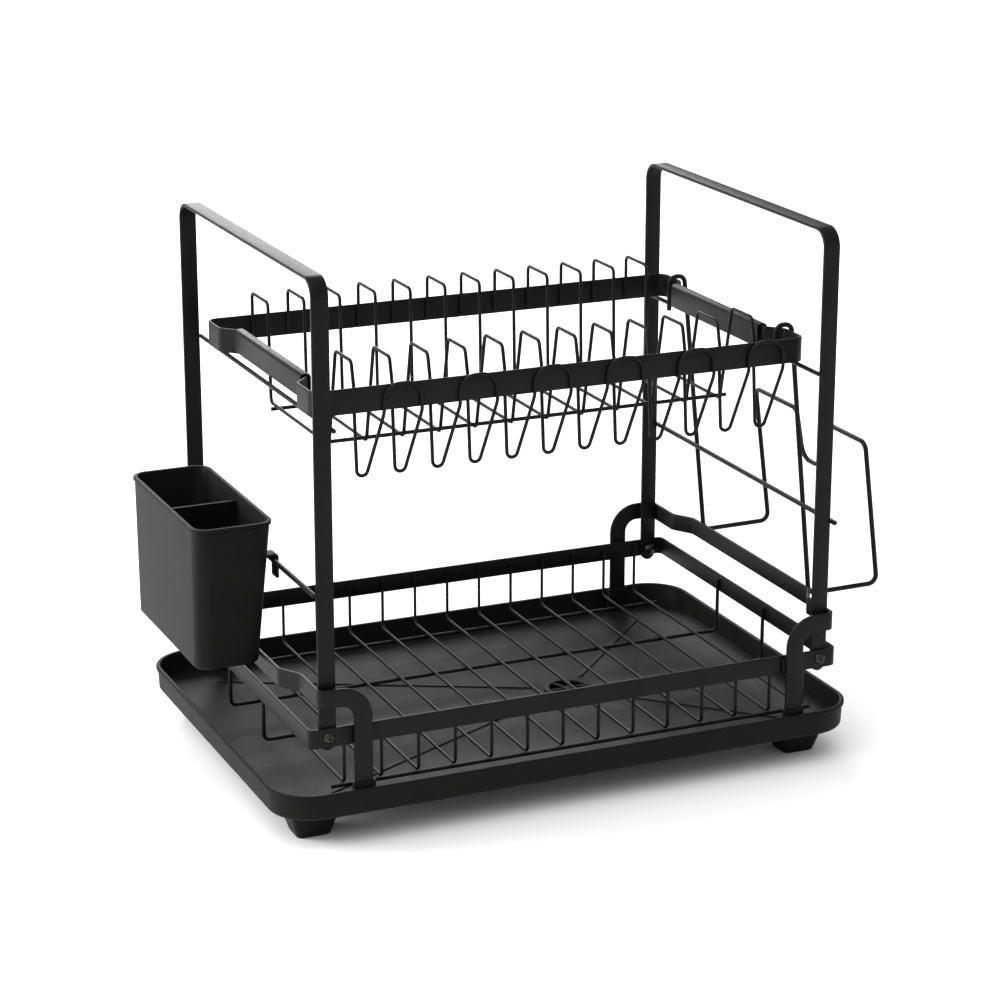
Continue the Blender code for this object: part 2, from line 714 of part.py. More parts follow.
def make_hoop(name, side, body):
    x = side * HOOP_X
    top = HOOP_TOP - HOOP_BAR_THICKNESS / 2
    corners = [(x, -POST_Y, HOOP_FOOT), (x, -POST_Y, top), (x, POST_Y, top), (x, POST_Y, HOOP_FOOT)]
    path = rounded_path(corners, HOOP_CORNER - HOOP_BAR_THICKNESS / 2, steps=6)
    path, widths = round_end(path, HOOP_BAR_WIDTH)
    bm = bar_mesh(path, HOOP_BAR_WIDTH, HOOP_BAR_THICKNESS, across=X, widths=widths)
    hoop = solid(name, bm, BLACK_STEEL, body)
    for place, hole_x, end in screw_places():
        if hole_x == x:
            boolean(hoop, helper(f"post_hole_cutter_{place}", screw_hole(x, end), body), "DIFFERENCE")


def make_post_wires(side_name, side, body):
    """The wire that carries the plate rack, and the cross wire below it."""
    for name, x, diameter, height, stub in (
        ("support_wire", SUPPORT_X, SUPPORT_WIRE, SUPPORT_HEIGHT, SUPPORT_STUB),
        ("cross_wire", CROSS_X, CROSS_WIRE, CROSS_HEIGHT, CROSS_STUB),
    ):
        reach = POST_Y + HOOP_BAR_THICKNESS / 2 + stub
        path = [Vector((side * x, y, height)) for y in (-reach, reach)]
        add_wire(f"{name}_{side_name}", path, diameter, BLACK_STEEL, body, roundness=2)


def dome(radius, height, base, steps=3):
    """(radius, height) pairs of a low dome that stands on base."""
    pairs = []
    for step in range(steps + 1):
        turn = math.pi / 2 * step / (steps + 0.7)
        pairs.append((radius * math.cos(turn), base + height * math.sin(turn)))
    return pairs


def make_screws(body):
    """Domed screws from outside, each in a capped nut on the inside of its post."""
    seat = BASKET_WIDTH / 2 + GAP
    inside = POST_Y - HOOP_BAR_THICKNESS / 2 - GAP
    tip = inside - NUT_ROOM + RUN
    for name, x, end in screw_places():
        head = dome(SCREW_HEAD, SCREW_HEAD_HEIGHT, seat)
        profile = [(SCREW_RADIUS, tip), (SCREW_RADIUS, seat), *head]
        make_on_post(f"screw_{name}", profile, x, end, body)
        rounded = dome(NUT_RADIUS, NUT_LENGTH * 0.45, inside + NUT_LENGTH * 0.55)
        cap = [(radius, 2 * inside - height) for radius, height in rounded]
        room = SCREW_RADIUS + RUN
        nut = [(room, inside - NUT_ROOM), (room, inside), (NUT_RADIUS, inside), *cap]
        make_on_post(f"cap_nut_{name}", nut, x, end, body)


def make_on_post(name, profile, x, end, body):
    """A turned piece along Y at one screw; heights in the profile count outwards from the middle."""
    bm = turned(profile, 14, axis="Y")
    if end > 0:
        bmesh.ops.rotate(bm, verts=bm.verts, matrix=Matrix.Rotation(math.pi, 3, "Z"))
    solid(name, move(bm, (x, 0, BAND_MIDDLE)), BLACK_SCREW, body)


def make_hoops(body):
    for side_name, side in SIDES:
        make_hoop(f"hoop_{side_name}", side, body)
        make_post_wires(side_name, side, body)
    make_screws(body)


# --- Plate rack ------------------------------------------------------------


def make_rack_band(body):
    """The upper band, which steps in on both short sides to make room for a hand."""
    x = RACK_LENGTH / 2 - BAND_THICKNESS / 2
    y = RACK_WIDTH / 2 - BAND_THICKNESS / 2
    start, end = RACK_STEP
    right = [(x, -y), (x, -start), (x - RACK_NECK, -end), (x - RACK_NECK, end), (x, start), (x, y)]
    corners = right + [(-a, -b) for a, b in right]
    bends = [RACK_CORNER, *[RACK_STEP_BEND] * 4, RACK_CORNER] * 2
    middle = (RACK_BOTTOM + RACK_TOP) / 2
    path = rounded_path([(a, b, middle) for a, b in corners], bends, steps=4, closed=True)
    bm = bar_mesh(path, RACK_BAND_HEIGHT, BAND_THICKNESS, across=Z, closed=True)
    solid("rack_band", bm, BLACK_STEEL, body)


def make_grip(name, side, body):
    """A folded channel that sits over the band's inset stretch."""
    middle = RACK_LENGTH / 2 - BAND_THICKNESS / 2 - RACK_NECK
    half = BAND_THICKNESS / 2 + GRIP_ROOM + GRIP_SHEET / 2
    top = RACK_TOP + GAP + GRIP_SHEET / 2
    bottom = top - GRIP_DEPTH
    corners = [(middle - half, bottom), (middle - half, top), (middle + half, top), (middle + half, bottom)]
    section = rounded_path([(a, 0, b) for a, b in corners], GRIP_BEND, steps=3)
    bm = bar_mesh(section, GRIP_LENGTH, GRIP_SHEET, across=Y)
    if side < 0:
        bmesh.ops.scale(bm, vec=(-1, 1, 1), verts=bm.verts)
    solid(name, bm, BLACK_STEEL, body)


def plate_post_points(x, inside):
    """Corners and bends of one divider, from its back end down to its V at the front."""
    corners = [
        (x, inside, RACK_BOTTOM + BAND_LAP),
        (x, inside, BACK_TOP),
        (x, BACK_TOP_Y, BACK_TOP),
        (x, BACK_FOOT_Y, DIVIDER_FLOOR),
        (x, FRONT_FOOT_Y, DIVIDER_FLOOR),
        (x, FRONT_TOP_Y[0], FRONT_TOP),
        (x, FRONT_TOP_Y[1], FRONT_TOP),
        (x, FRONT_LEG_Y, RACK_TOP - 2 * BAND_LAP),
        (x, FRONT_LEG_Y, RACK_BOTTOM - BAND_LAP),
        (x + V_LEAN, V_BOTTOM_Y, V_BOTTOM),
        (x + V_LEAN + V_BOTTOM_WIDTH, V_BOTTOM_Y, V_BOTTOM),
    ]
    bends = [DIVIDER_BEND] * 6 + [*LEG_TURN, V_BEND, V_BEND]
    return corners, bends


def make_divider(number, x_left, x_right, inside, outside, body):
    """One wire: two neighbouring dividers, joined outside the front band by a hump."""
    left, left_bends = plate_post_points(x_left, inside)
    right, right_bends = plate_post_points(x_right, inside)
    low = RACK_BOTTOM - BAND_LAP
    arms = (x_left + V_ARM, x_right + V_ARM)
    hump = [
        (arms[0], -outside, low),
        (arms[0] + HUMP_DRAFT, -outside, HUMP_TOP),
        (arms[1] - HUMP_DRAFT, -outside, HUMP_TOP),
        (arms[1], -outside, low),
    ]
    hump_bend = (arms[1] - arms[0]) * HUMP_ROUND
    bends = left_bends + [LEG_TURN[1], hump_bend, hump_bend, LEG_TURN[1]] + right_bends[::-1]
    path = rounded_path(left + hump + right[::-1], bends, steps=3)
    add_wire(f"divider_wire_{number}", path, DIVIDER_WIRE, BLACK_STEEL, body)


def make_dividers(body):
    inside = RACK_WIDTH / 2 - BAND_THICKNESS - GAP - DIVIDER_WIRE / 2
    outside = RACK_WIDTH / 2 + GAP + DIVIDER_WIRE / 2
    places = [(number - (DIVIDER_COUNT - 1) / 2) * DIVIDER_PITCH for number in range(DIVIDER_COUNT)]
    for number in range(DIVIDER_COUNT // 2):
        make_divider(number + 1, places[2 * number], places[2 * number + 1], inside, outside, body)


def make_rack_rails(body):
    """The two rails that the dividers are welded to."""
    half = (DIVIDER_COUNT - 1) / 2 * DIVIDER_PITCH + RACK_RAIL_STUB
    near = (DIVIDER_WIRE + RACK_RAIL) / 2 + GAP
    rise = Vector((0, FRONT_TOP_Y[0] - FRONT_FOOT_Y, FRONT_TOP - DIVIDER_FLOOR)).normalized()
    front = Vector((0, FRONT_FOOT_Y, DIVIDER_FLOOR)) + rise * DIVIDER_BEND + rise.cross(X) * -near
    back = Vector((0, RACK_RAIL_Y, DIVIDER_FLOOR - near))
    for name, place in (("rack_rail_front", front), ("rack_rail_back", back)):
        add_wire(name, [place - X * half, place + X * half], RACK_RAIL, BLACK_STEEL, body)


# --- Cutlery caddy and board holder ----------------------------------------


def caddy_loop(inset, height):
    """The caddy's outline at a height, this far inside its outer skin."""
    depth = (CADDY_TOP - height) / (CADDY_TOP - CADDY_BOTTOM)
    taper = CADDY_TAPER * depth
    low = (CADDY_LEFT + inset, CADDY_FRONT + taper + inset)
    high = (CADDY_RIGHT - CADDY_LEAN * depth - inset, CADDY_BACK - taper - inset)
    return rounded_rectangle(low, high, max(0.002, CADDY_CORNER - inset), height, steps=4)


def caddy_hook(y):
    """A moulded hook that reaches over the left cross wire."""
    top = CROSS_HEIGHT + CROSS_WIRE / 2 + GAP + HOOK_THICKNESS / 2
    depth = (CADDY_TOP - top) / (CADDY_TOP - CADDY_BOTTOM)
    root = CADDY_RIGHT - CADDY_LEAN * depth - CADDY_WALL / 2
    tip = -CROSS_X + CROSS_WIRE / 2 + GAP + HOOK_THICKNESS / 2
    path = rounded_path([(root, y, top), (tip, y, top), (tip, y, top - HOOK_DROP)], HOOK_BEND, steps=2)
    return bar_mesh(path, HOOK_WIDTH, HOOK_THICKNESS, across=Y)


def make_caddy(body):
    rim = CADDY_TOP - CADDY_RIM_DEPTH
    edge = 0.0006
    steps = [
        (0.0024, CADDY_BOTTOM),
        (0.0007, CADDY_BOTTOM + 0.0007),
        (0, CADDY_BOTTOM + 0.0024),
        (0, rim),
        (-CADDY_RIM, rim + CADDY_RIM),
        (-CADDY_RIM, CADDY_TOP - edge),
        (edge - CADDY_RIM, CADDY_TOP),
        (CADDY_WALL - edge, CADDY_TOP),
        (CADDY_WALL, CADDY_TOP - edge),
        (CADDY_WALL, CADDY_BOTTOM + CADDY_WALL),
    ]
    shell = loft([caddy_loop(inset, height) for inset, height in steps])
    caddy = solid("cutlery_caddy", shell, BLACK_PLASTIC, body)
    wall = CADDY_WALL / 2
    low = (CADDY_LEFT + wall, CADDY_DIVIDER_Y - wall, CADDY_BOTTOM + wall)
    high = (CADDY_RIGHT - wall, CADDY_DIVIDER_Y + wall, CADDY_TOP - CADDY_DIVIDER_DROP)
    divider = block(low, high)
    for vertex in divider.verts:
        depth = (CADDY_TOP - vertex.co.z) / (CADDY_TOP - CADDY_BOTTOM)
        if vertex.co.x > (CADDY_LEFT + CADDY_RIGHT) / 2:
            vertex.co.x -= CADDY_LEAN * depth
    boolean(caddy, helper("caddy_divider_shape", divider, body), "UNION")
    for name, y in (("front", CADDY_FRONT + HOOK_INSET), ("back", CADDY_BACK - HOOK_INSET)):
        boolean(caddy, helper(f"caddy_hook_shape_{name}", caddy_hook(y), body), "UNION")


def make_board_holder(body):
    """One bent wire: a hook, a leg and an arm at each end of an M-shaped stop."""
    shoulder, foot, outer, top, valley = (
        (SIDE_BAR_X + out, height)
        for out, height in (HOLDER_SHOULDER, HOLDER_FOOT, HOLDER_OUTER, HOLDER_TOP, HOLDER_VALLEY)
    )
    y = HOLDER_Y
    half = [
        (HOLDER_HOOK_X, y, HOLDER_HOOK_END),
        (HOLDER_HOOK_X, y, HOLDER_HOOK_TOP),
        (shoulder[0] - HOLDER_SHOULDER_STEP, y, HOLDER_HOOK_TOP),
        (shoulder[0], y, shoulder[1]),
        (foot[0], y, foot[1]),
        (outer[0], y, outer[1]),
        (top[0], y, top[1]),
        (top[0], HOLDER_VALLEY_Y[0], top[1]),
        (valley[0], HOLDER_VALLEY_Y[1], valley[1]),
    ]
    corners = [(a, -b, c) for a, b, c in half] + [(a, b, c) for a, b, c in reversed(half)]
    bends = [*[HOLDER_HOOK_BEND] * 2, HOLDER_SHOULDER_BEND, *[HOLDER_BEND] * 4, HOLDER_VALLEY_BEND]
    path = rounded_path(corners, bends + bends[::-1], steps=4)
    add_wire("board_holder", path, HOLDER_WIRE, BLACK_STEEL, body, roundness=2)


def main():
    clear_scene()
    tray = group("tray_body", place=(-MIDDLE_X, -MIDDLE_Y, 0))
    basket = group("basket_body", tray)
    rack = group("plate_rack_body", basket)
    make_drip_tray(tray)
    make_drain_strainer(tray)
    make_drain_spout(tray)
    make_basket_band(basket)
    make_basket_wires(basket)
    make_leg_frames(basket)
    make_hoops(basket)
    make_rack_band(rack)
    for side_name, side in SIDES:
        make_grip(f"grip_{side_name}", side, rack)
    make_dividers(rack)
    make_rack_rails(rack)
    make_caddy(group("caddy_body", basket))
    make_board_holder(group("board_holder_body", rack))


main()
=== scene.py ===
"""Two-tier dish drying rack in black wire and flat bar, over a moulded drip tray.

Every piece is made in the basket's own frame, whose origin is under the basket's middle on
the table, and is then moved to where the frame has the basket.
"""

import math

import bmesh
import bpy
from mathutils import Matrix, Vector


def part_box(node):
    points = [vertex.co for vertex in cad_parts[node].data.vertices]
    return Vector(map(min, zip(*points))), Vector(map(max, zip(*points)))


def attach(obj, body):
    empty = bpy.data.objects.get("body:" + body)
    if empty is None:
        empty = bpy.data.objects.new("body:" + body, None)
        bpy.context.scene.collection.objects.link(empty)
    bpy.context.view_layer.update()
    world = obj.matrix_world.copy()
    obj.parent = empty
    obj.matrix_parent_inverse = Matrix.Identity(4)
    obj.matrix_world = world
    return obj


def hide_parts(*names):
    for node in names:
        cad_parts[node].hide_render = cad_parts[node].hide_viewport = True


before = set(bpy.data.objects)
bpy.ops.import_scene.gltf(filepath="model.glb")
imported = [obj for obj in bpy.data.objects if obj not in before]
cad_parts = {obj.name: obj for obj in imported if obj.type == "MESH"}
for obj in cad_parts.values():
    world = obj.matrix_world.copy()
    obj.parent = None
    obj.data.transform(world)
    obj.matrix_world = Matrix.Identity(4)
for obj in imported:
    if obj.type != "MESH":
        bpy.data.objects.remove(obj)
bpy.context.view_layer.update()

bl_info = {
    "name": "Dish drying rack",
    "version": (1, 0, 0),
    "blender": (4, 5, 0),
    "location": "View3D > Sidebar > Dish rack",
    "description": "Makes a wire dish rack, its drip tray and what hangs on it",
    "category": "Add Mesh",
}

X, Y, Z = Vector((1, 0, 0)), Vector((0, 1, 0)), Vector((0, 0, 1))
SIDES = (-1, 1)
ENDS = (-1, 1)
GAP = 0.0003  # between neighbours

_low, _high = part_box("basket_band")
CENTRE = Vector(((_low.x + _high.x) / 2, (_low.y + _high.y) / 2, 0))


def place(node):
    """The lowest and highest corner of a node in the basket's frame."""
    low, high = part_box(node)
    return low - CENTRE, high - CENTRE


BAND_LOW, BAND_HIGH = place("basket_band")
TRAY_LOW, TRAY_HIGH = place("drip_tray")
HOOP_LOW, HOOP_HIGH = place("hoop_right")
RACK_LOW, RACK_HIGH = place("rack_band")
CADDY_LOW, CADDY_HIGH = place("cutlery_caddy")
CAP_LOW, CAP_HIGH = place("leg_cap_back_right")
STRAINER_LOW, STRAINER_HIGH = place("drain_strainer")
SPOUT_LOW, SPOUT_HIGH = place("drain_spout")

BAND_MIDDLE = (BAND_LOW.z + BAND_HIGH.z) / 2
HOOP_X = (HOOP_LOW.x + HOOP_HIGH.x) / 2
FLOOR_TOP = CAP_LOW.z - GAP
DRAIN = Vector(((STRAINER_LOW.x + STRAINER_HIGH.x) / 2, (STRAINER_LOW.y + STRAINER_HIGH.y) / 2, 0))
TRAY_RIM = TRAY_HIGH.z
TRAY_UNDERSIDE = SPOUT_HIGH.z + GAP


# --- Settings ----------------------------------------------------------------


def length(name, description, default):
    return bpy.props.FloatProperty(
        name=name, description=description, default=default, min=0, precision=4, unit="LENGTH"
    )


def tint(name, description, code):
    return bpy.props.StringProperty(name=name, description=description, default=code)


class TraySizes(bpy.types.PropertyGroup):
    """Sizes of the drip tray and its drain."""

    corner: length("Corner", "Radius of the tray's corners seen from above", 0.036)
    wall: length("Wall", "Thickness of the tray's wall", 0.0024)
    lip: length("Lip", "How far the rim's lip stands out", 0.0012)
    lip_depth: length("Lip depth", "Height of the rim's lip", 0.0035)
    bend: length("Bend", "Radius between floor and wall", 0.0030)
    rib_width: length("Rib width", "Width of a drainage rib", 0.0030)
    rib_height: length("Rib height", "Height of a drainage rib", 0.0009)


class WireSizes(bpy.types.PropertyGroup):
    """Diameters and bends of the round wires."""

    basket: length("Basket wire", "Diameter of the basket's wires", 0.0025)
    rail: length("Rail", "Diameter of the rails under the basket", 0.0030)
    divider: length("Divider wire", "Diameter of the plate dividers", 0.0028)
    rack_rail: length("Rack rail", "Diameter of the rails under the dividers", 0.0031)
    support: length("Support wire", "Diameter of the wires that carry the rack", 0.0035)
    cross: length("Cross wire", "Diameter of the wires that carry the caddy", 0.0040)
    holder: length("Holder wire", "Diameter of the board holder's wire", 0.0040)
    basket_bend: length("Basket bend", "Bend radius of the basket's wires", 0.0050)
    divider_bend: length("Divider bend", "Bend radius of the dividers", 0.0045)


class BarSizes(bpy.types.PropertyGroup):
    """Sizes of the flat bars and bands."""

    band: length("Band thickness", "Thickness of both bands", 0.0020)
    leg: length("Leg thickness", "Thickness of the leg frames' bar", 0.0025)
    leg_width: length("Leg width", "Width of the leg frames' bar", 0.0145)
    hoop: length("Hoop thickness", "Thickness of the hoops' bar", 0.0028)
    edge: length("Edge", "Radius that rolling and coating leave along a bar's edge", 0.0006)


class CaddySizes(bpy.types.PropertyGroup):
    """Sizes of the cutlery caddy."""

    wall: length("Wall", "Thickness of the caddy's wall", 0.0022)
    corner: length("Corner", "Radius of the caddy's corners", 0.0120)
    rim: length("Rim", "How far the rim stands out", 0.0012)


class Finishes(bpy.types.PropertyGroup):
    """Colours of the finishes, as sRGB hex codes."""

    coat: tint("Powder coat", "Colour of the coated steel", "#0b0b0b")
    coat_light: tint("Powder coat, thin", "Colour where the coat is thinner", "#101010")
    plastic: tint("Plastic", "Colour of the moulded pieces", "#0a0a09")
    plastic_light: tint("Plastic, rubbed", "Colour of the moulding's high spots", "#0e0e0d")
    screw: tint("Screw", "Colour of the blackened screws", "#3c3c3a")
    floor: tint("Floor", "Colour of the floor", "#ffffff")


class StageSettings(bpy.types.PropertyGroup):
    """The strengths of the lights and of the white room."""

    sun: bpy.props.FloatProperty(
        name="Ceiling", description="Strength of the even light from above left", default=1.9
    )
    back: bpy.props.FloatProperty(
        name="Back softbox", description="Power of the softbox behind the rack", default=30
    )
    side: bpy.props.FloatProperty(
        name="Side softbox", description="Power of the softbox at the left", default=38
    )
    room: bpy.props.FloatProperty(
        name="Room", description="Strength of the white room", default=0.55
    )


def settings():
    return bpy.context.scene.dish_rack


class RackSettings(bpy.types.PropertyGroup):
    """Everything that a user would change."""

    tray: bpy.props.PointerProperty(type=TraySizes)
    wires: bpy.props.PointerProperty(type=WireSizes)
    bars: bpy.props.PointerProperty(type=BarSizes)
    caddy: bpy.props.PointerProperty(type=CaddySizes)
    finishes: bpy.props.PointerProperty(type=Finishes)
    stage: bpy.props.PointerProperty(type=StageSettings)


# --- Materials ---------------------------------------------------------------


def linear(code):
    """An sRGB hex code as linear RGBA."""
    found = []
    for start in (1, 3, 5):
        value = int(code[start : start + 2], 16) / 255
        found.append(value / 12.92 if value <= 0.04045 else ((value + 0.055) / 1.055) ** 2.4)
    return (*found, 1)


def add_node(tree, kind, values=None, links=None, **choices):
    node = tree.nodes.new(kind)
    for name, value in choices.items():
        setattr(node, name, value)
    for name, value in (values or {}).items():
        node.inputs[name].default_value = value
    for name, source in (links or {}).items():
        tree.links.new(source, node.inputs[name])
    return node


def grained(name, colours, grain_mm, depth, roughness, shader_values):
    """A finish with fine grain in its bump, and slow drift in its colour and roughness."""
    if name in bpy.data.materials:
        return bpy.data.materials[name]
    material = bpy.data.materials.new(name)
    material.use_nodes = True
    tree = material.node_tree
    tree.nodes.clear()
    where = add_node(tree, "ShaderNodeTexCoord").outputs["Object"]
    grain = add_node(
        tree,
        "ShaderNodeTexNoise",
        {"Scale": 1000 / grain_mm, "Detail": 2.0, "Roughness": 0.55},
        {"Vector": where},
    )
    drift = add_node(
        tree, "ShaderNodeTexNoise", {"Scale": 1000 / 28, "Detail": 3.0}, {"Vector": where}
    )
    blended = add_node(
        tree,
        "ShaderNodeMapRange",
        {"From Min": 0.35, "From Max": 0.65, "To Min": 0.0, "To Max": 1.0},
        {"Value": drift.outputs["Fac"]},
    )
    ramp = add_node(tree, "ShaderNodeValToRGB", None, {"Fac": blended.outputs["Result"]})
    ramp.color_ramp.elements[0].color = linear(colours[0])
    ramp.color_ramp.elements[1].color = linear(colours[1])
    rough = add_node(
        tree,
        "ShaderNodeMapRange",
        {"From Min": 0.3, "From Max": 0.7, "To Min": roughness[0], "To Max": roughness[1]},
        {"Value": grain.outputs["Fac"]},
    )
    bump = add_node(
        tree,
        "ShaderNodeBump",
        {"Strength": 0.5, "Distance": depth},
        {"Height": grain.outputs["Fac"]},
    )
    shader = add_node(
        tree,
        "ShaderNodeBsdfPrincipled",
        shader_values,
        {
            "Base Color": ramp.outputs["Color"],
            "Roughness": rough.outputs["Result"],
            "Normal": bump.outputs["Normal"],
        },
    )
    add_node(tree, "ShaderNodeOutputMaterial", None, {"Surface": shader.outputs["BSDF"]})
    return material


def powder_coat():
    # Powder sprayed on steel and baked: a soft satin with slight orange peel.
    colours = (settings().finishes.coat, settings().finishes.coat_light)
    values = {"IOR": 1.5, "Specular IOR Level": 0.16}
    return grained("powder_coated_steel", colours, 1.6, 0.00005, (0.40, 0.52), values)


def moulded_plastic():
    # Polypropylene from a textured mould: an even fine grain that takes the shine off.
    colours = (settings().finishes.plastic, settings().finishes.plastic_light)
    values = {"IOR": 1.49, "Specular IOR Level": 0.13}
    return grained("moulded_polypropylene", colours, 1.1, 0.00007, (0.50, 0.62), values)


def blackened_steel():
    # Steel with a black oxide coat: shinier than the powder, still metal.
    colour = settings().finishes.screw
    values = {"Metallic": 1.0}
    return grained("black_oxide_steel", (colour, colour), 0.8, 0.00002, (0.30, 0.42), values)


# --- Shapes ------------------------------------------------------------------


def rounded_path(corners, radii, steps=8, closed=False):
    """The points of a run through the corners, each rounded to its radius."""
    corners = [Vector(corner) for corner in corners]
    count = len(corners)
    turning = range(count) if closed else range(1, count - 1)
    if not isinstance(radii, (list, tuple)):
        radii = [radii] * len(turning)
    path = [] if closed else [corners[0]]
    for index, radius in zip(turning, radii):
        corner = corners[index]
        back = (corners[index - 1] - corner).normalized()
        ahead = (corners[(index + 1) % count] - corner).normalized()
        half = back.angle(ahead) / 2
        middle = (back + ahead).normalized()
        centre = corner + middle * (radius / math.sin(half))
        across = (back - middle * back.dot(middle)).normalized()
        sweep = math.pi - 2 * half
        for step in range(steps + 1):
            turn = sweep / 2 - sweep * step / steps
            path.append(centre - middle * radius * math.cos(turn) + across * radius * math.sin(turn))
    if not closed:
        path.append(corners[-1])
    return path


def directions(path, closed):
    last = len(path) - 1
    found = []
    for index, point in enumerate(path):
        before = path[index - 1] if closed or index > 0 else point
        after = path[(index + 1) % len(path)] if closed or index < last else point
        into = (point - before).normalized() if point != before else (after - point).normalized()
        out = (after - point).normalized() if after != point else into
        found.append((into + out).normalized() / max(0.5, math.cos(into.angle(out) / 2)))
    return found


def bar_frames(path, closed, across):
    """The width and thickness directions of a flat bar at each point."""
    frames = []
    known = None
    for forward in directions(path, closed):
        stretch = forward.length
        forward = forward.normalized()
        side = forward.cross(across or Z)
        if side.length > 0.2:
            side.normalize()
            turns_flat = across is not None or abs(forward.z) < 0.01
            width = across if across else side.cross(forward)
            frames.append((width, side, stretch, turns_flat, forward))
            known = side
        else:
            frames.append((None, known, stretch, False, forward))
    known = next(side for _, side, _, _, _ in frames if side)
    pairs = []
    for width, side, stretch, turns_flat, forward in frames:
        if width is None:
            side = side or known
            width = side.cross(forward)
        pairs.append((width * (1 if turns_flat else stretch), side * (stretch if turns_flat else 1)))
    return pairs


def bar_section(width, thickness, edge, steps=3):
    """The outline of a flat bar whose edges are rounded off."""
    points = []
    for a, b in ((1, 1), (-1, 1), (-1, -1), (1, -1)):
        start = math.atan2(b, a) - math.pi / 4
        for step in range(steps + 1):
            turn = start + math.pi / 2 * step / steps
            points.append(
                (
                    a * (width / 2 - edge) + edge * math.cos(turn),
                    b * (thickness / 2 - edge) + edge * math.sin(turn),
                )
            )
    return points


def add_bar(bm, path, width, thickness, across=None, closed=False, widths=None, edge=None):
    """Sweeps a flat bar with rounded edges along the path."""
    edge = min(edge or settings().bars.edge, thickness * 0.45)
    section = bar_section(width, thickness, edge)
    rings = []
    for index, (point, (wide, thick)) in enumerate(zip(path, bar_frames(path, closed, across))):
        share = widths[index] / width if widths else 1
        rings.append([bm.verts.new(point + wide * a * share + thick * b) for a, b in section])
    pairs = list(zip(rings, rings[1:] + rings[:1])) if closed else list(zip(rings, rings[1:]))
    for ring, following in pairs:
        for side in range(len(section)):
            bm.faces.new((ring[side], ring[side - 1], following[side - 1], following[side]))
    if not closed:
        bm.faces.new(rings[0])
        bm.faces.new(reversed(rings[-1]))
    return bm


def add_loft(bm, loops):
    """A closed skin through loops of equal length."""
    rings = [[bm.verts.new(point) for point in loop] for loop in loops]
    for ring, following in zip(rings, rings[1:]):
        for index in range(len(ring)):
            bm.faces.new((ring[index - 1], ring[index], following[index], following[index - 1]))
    bm.faces.new(reversed(rings[0]))
    bm.faces.new(rings[-1])
    return bm


def add_ring(bm, loops):
    """A closed skin through loops, the last one joined to the first."""
    rings = [[bm.verts.new(point) for point in loop] for loop in loops]
    for ring, following in zip(rings, rings[1:] + rings[:1]):
        for index in range(len(ring)):
            bm.faces.new((ring[index - 1], ring[index], following[index], following[index - 1]))
    return bm


def rounded_rectangle(low, high, radius, height, steps=10):
    places = [(high[0], low[1]), (high[0], high[1]), (low[0], high[1]), (low[0], low[1])]
    corners = [(*corner, height) for corner in places]
    return rounded_path(corners, max(radius, 0.0003), steps, closed=True)


def circle(radius, height, centre=(0, 0), count=48):
    turns = [2 * math.pi * step / count for step in range(count)]
    middle = Vector((centre[0], centre[1], height))
    return [middle + Vector((math.cos(turn), math.sin(turn), 0)) * radius for turn in turns]


def rounded_block(bm, low, high, edge):
    """A box whose upright and level edges are rounded."""
    low, high = Vector(low), Vector(high)
    steps = [(edge, low.z), (edge * 0.3, low.z + edge * 0.3), (0, low.z + edge)]
    steps += [(0, high.z - edge), (edge * 0.3, high.z - edge * 0.3), (edge, high.z)]
    loops = []
    for inset, height in steps:
        a, b = (low.x + inset, low.y + inset), (high.x - inset, high.y - inset)
        loops.append(rounded_rectangle(a, b, edge, height, steps=4))
    return add_loft(bm, loops)


def link_object(name, data):
    made = bpy.data.objects.new(name, data)
    bpy.context.scene.collection.objects.link(made)
    return made


def link_mesh(name, bm):
    """Turns a bmesh into an object with outward faces."""
    bmesh.ops.recalc_face_normals(bm, faces=bm.faces)
    mesh = bpy.data.meshes.new(name)
    bm.to_mesh(mesh)
    bm.free()
    return link_object(name, mesh)


def smooth(piece, angle=38):
    """Smooth curves, with an edge kept sharp where faces turn by more than the angle."""
    piece.data.shade_smooth()
    piece.data.set_sharp_from_angle(angle=math.radians(angle))


def new_piece(name, bm, material):
    piece = link_mesh(name, bm)
    piece.data.materials.append(material)
    smooth(piece)
    return piece


def settle(piece, body, finish, *nodes):
    """Moves a finished piece from the basket's frame to its place, and ties it to its body."""
    piece.data.transform(Matrix.Translation(CENTRE))
    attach(piece, body)
    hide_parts(*nodes)


def cut_or_join(piece, bm, operation):
    """Joins a shape to a piece or cuts it away, and keeps the result as plain mesh."""
    tool = link_mesh("tool", bm)
    modifier = piece.modifiers.new("shape", "BOOLEAN")
    modifier.object = tool
    modifier.operation = operation
    modifier.solver = "EXACT"
    keep_evaluated(piece)
    bpy.data.objects.remove(tool)


def keep_evaluated(piece):
    """Replaces the piece's mesh by what its modifiers make, and removes them."""
    bpy.context.view_layer.update()
    graph = bpy.context.evaluated_depsgraph_get()
    mesh = bpy.data.meshes.new_from_object(piece.evaluated_get(graph), depsgraph=graph)
    piece.modifiers.clear()
    piece.data = mesh


# --- Geometry Nodes ----------------------------------------------------------


def new_tree(name, inputs):
    tree = bpy.data.node_groups.new(name, "GeometryNodeTree")
    tree.interface.new_socket("Geometry", in_out="INPUT", socket_type="NodeSocketGeometry")
    for label, kind in inputs:
        tree.interface.new_socket(label, in_out="INPUT", socket_type=kind)
    tree.interface.new_socket("Geometry", in_out="OUTPUT", socket_type="NodeSocketGeometry")
    return tree, tree.nodes.new("NodeGroupInput"), tree.nodes.new("NodeGroupOutput")


def end_tree(tree, given, out, geometry):
    """The last nodes of every tree: real mesh, with the piece's finish on it."""
    real = add_node(tree, "GeometryNodeRealizeInstances", None, {"Geometry": geometry})
    painted = add_node(
        tree,
        "GeometryNodeSetMaterial",
        None,
        {"Geometry": real.outputs[0], "Material": given.outputs["Material"]},
    )
    tree.links.new(painted.outputs[0], out.inputs[0])
    return tree


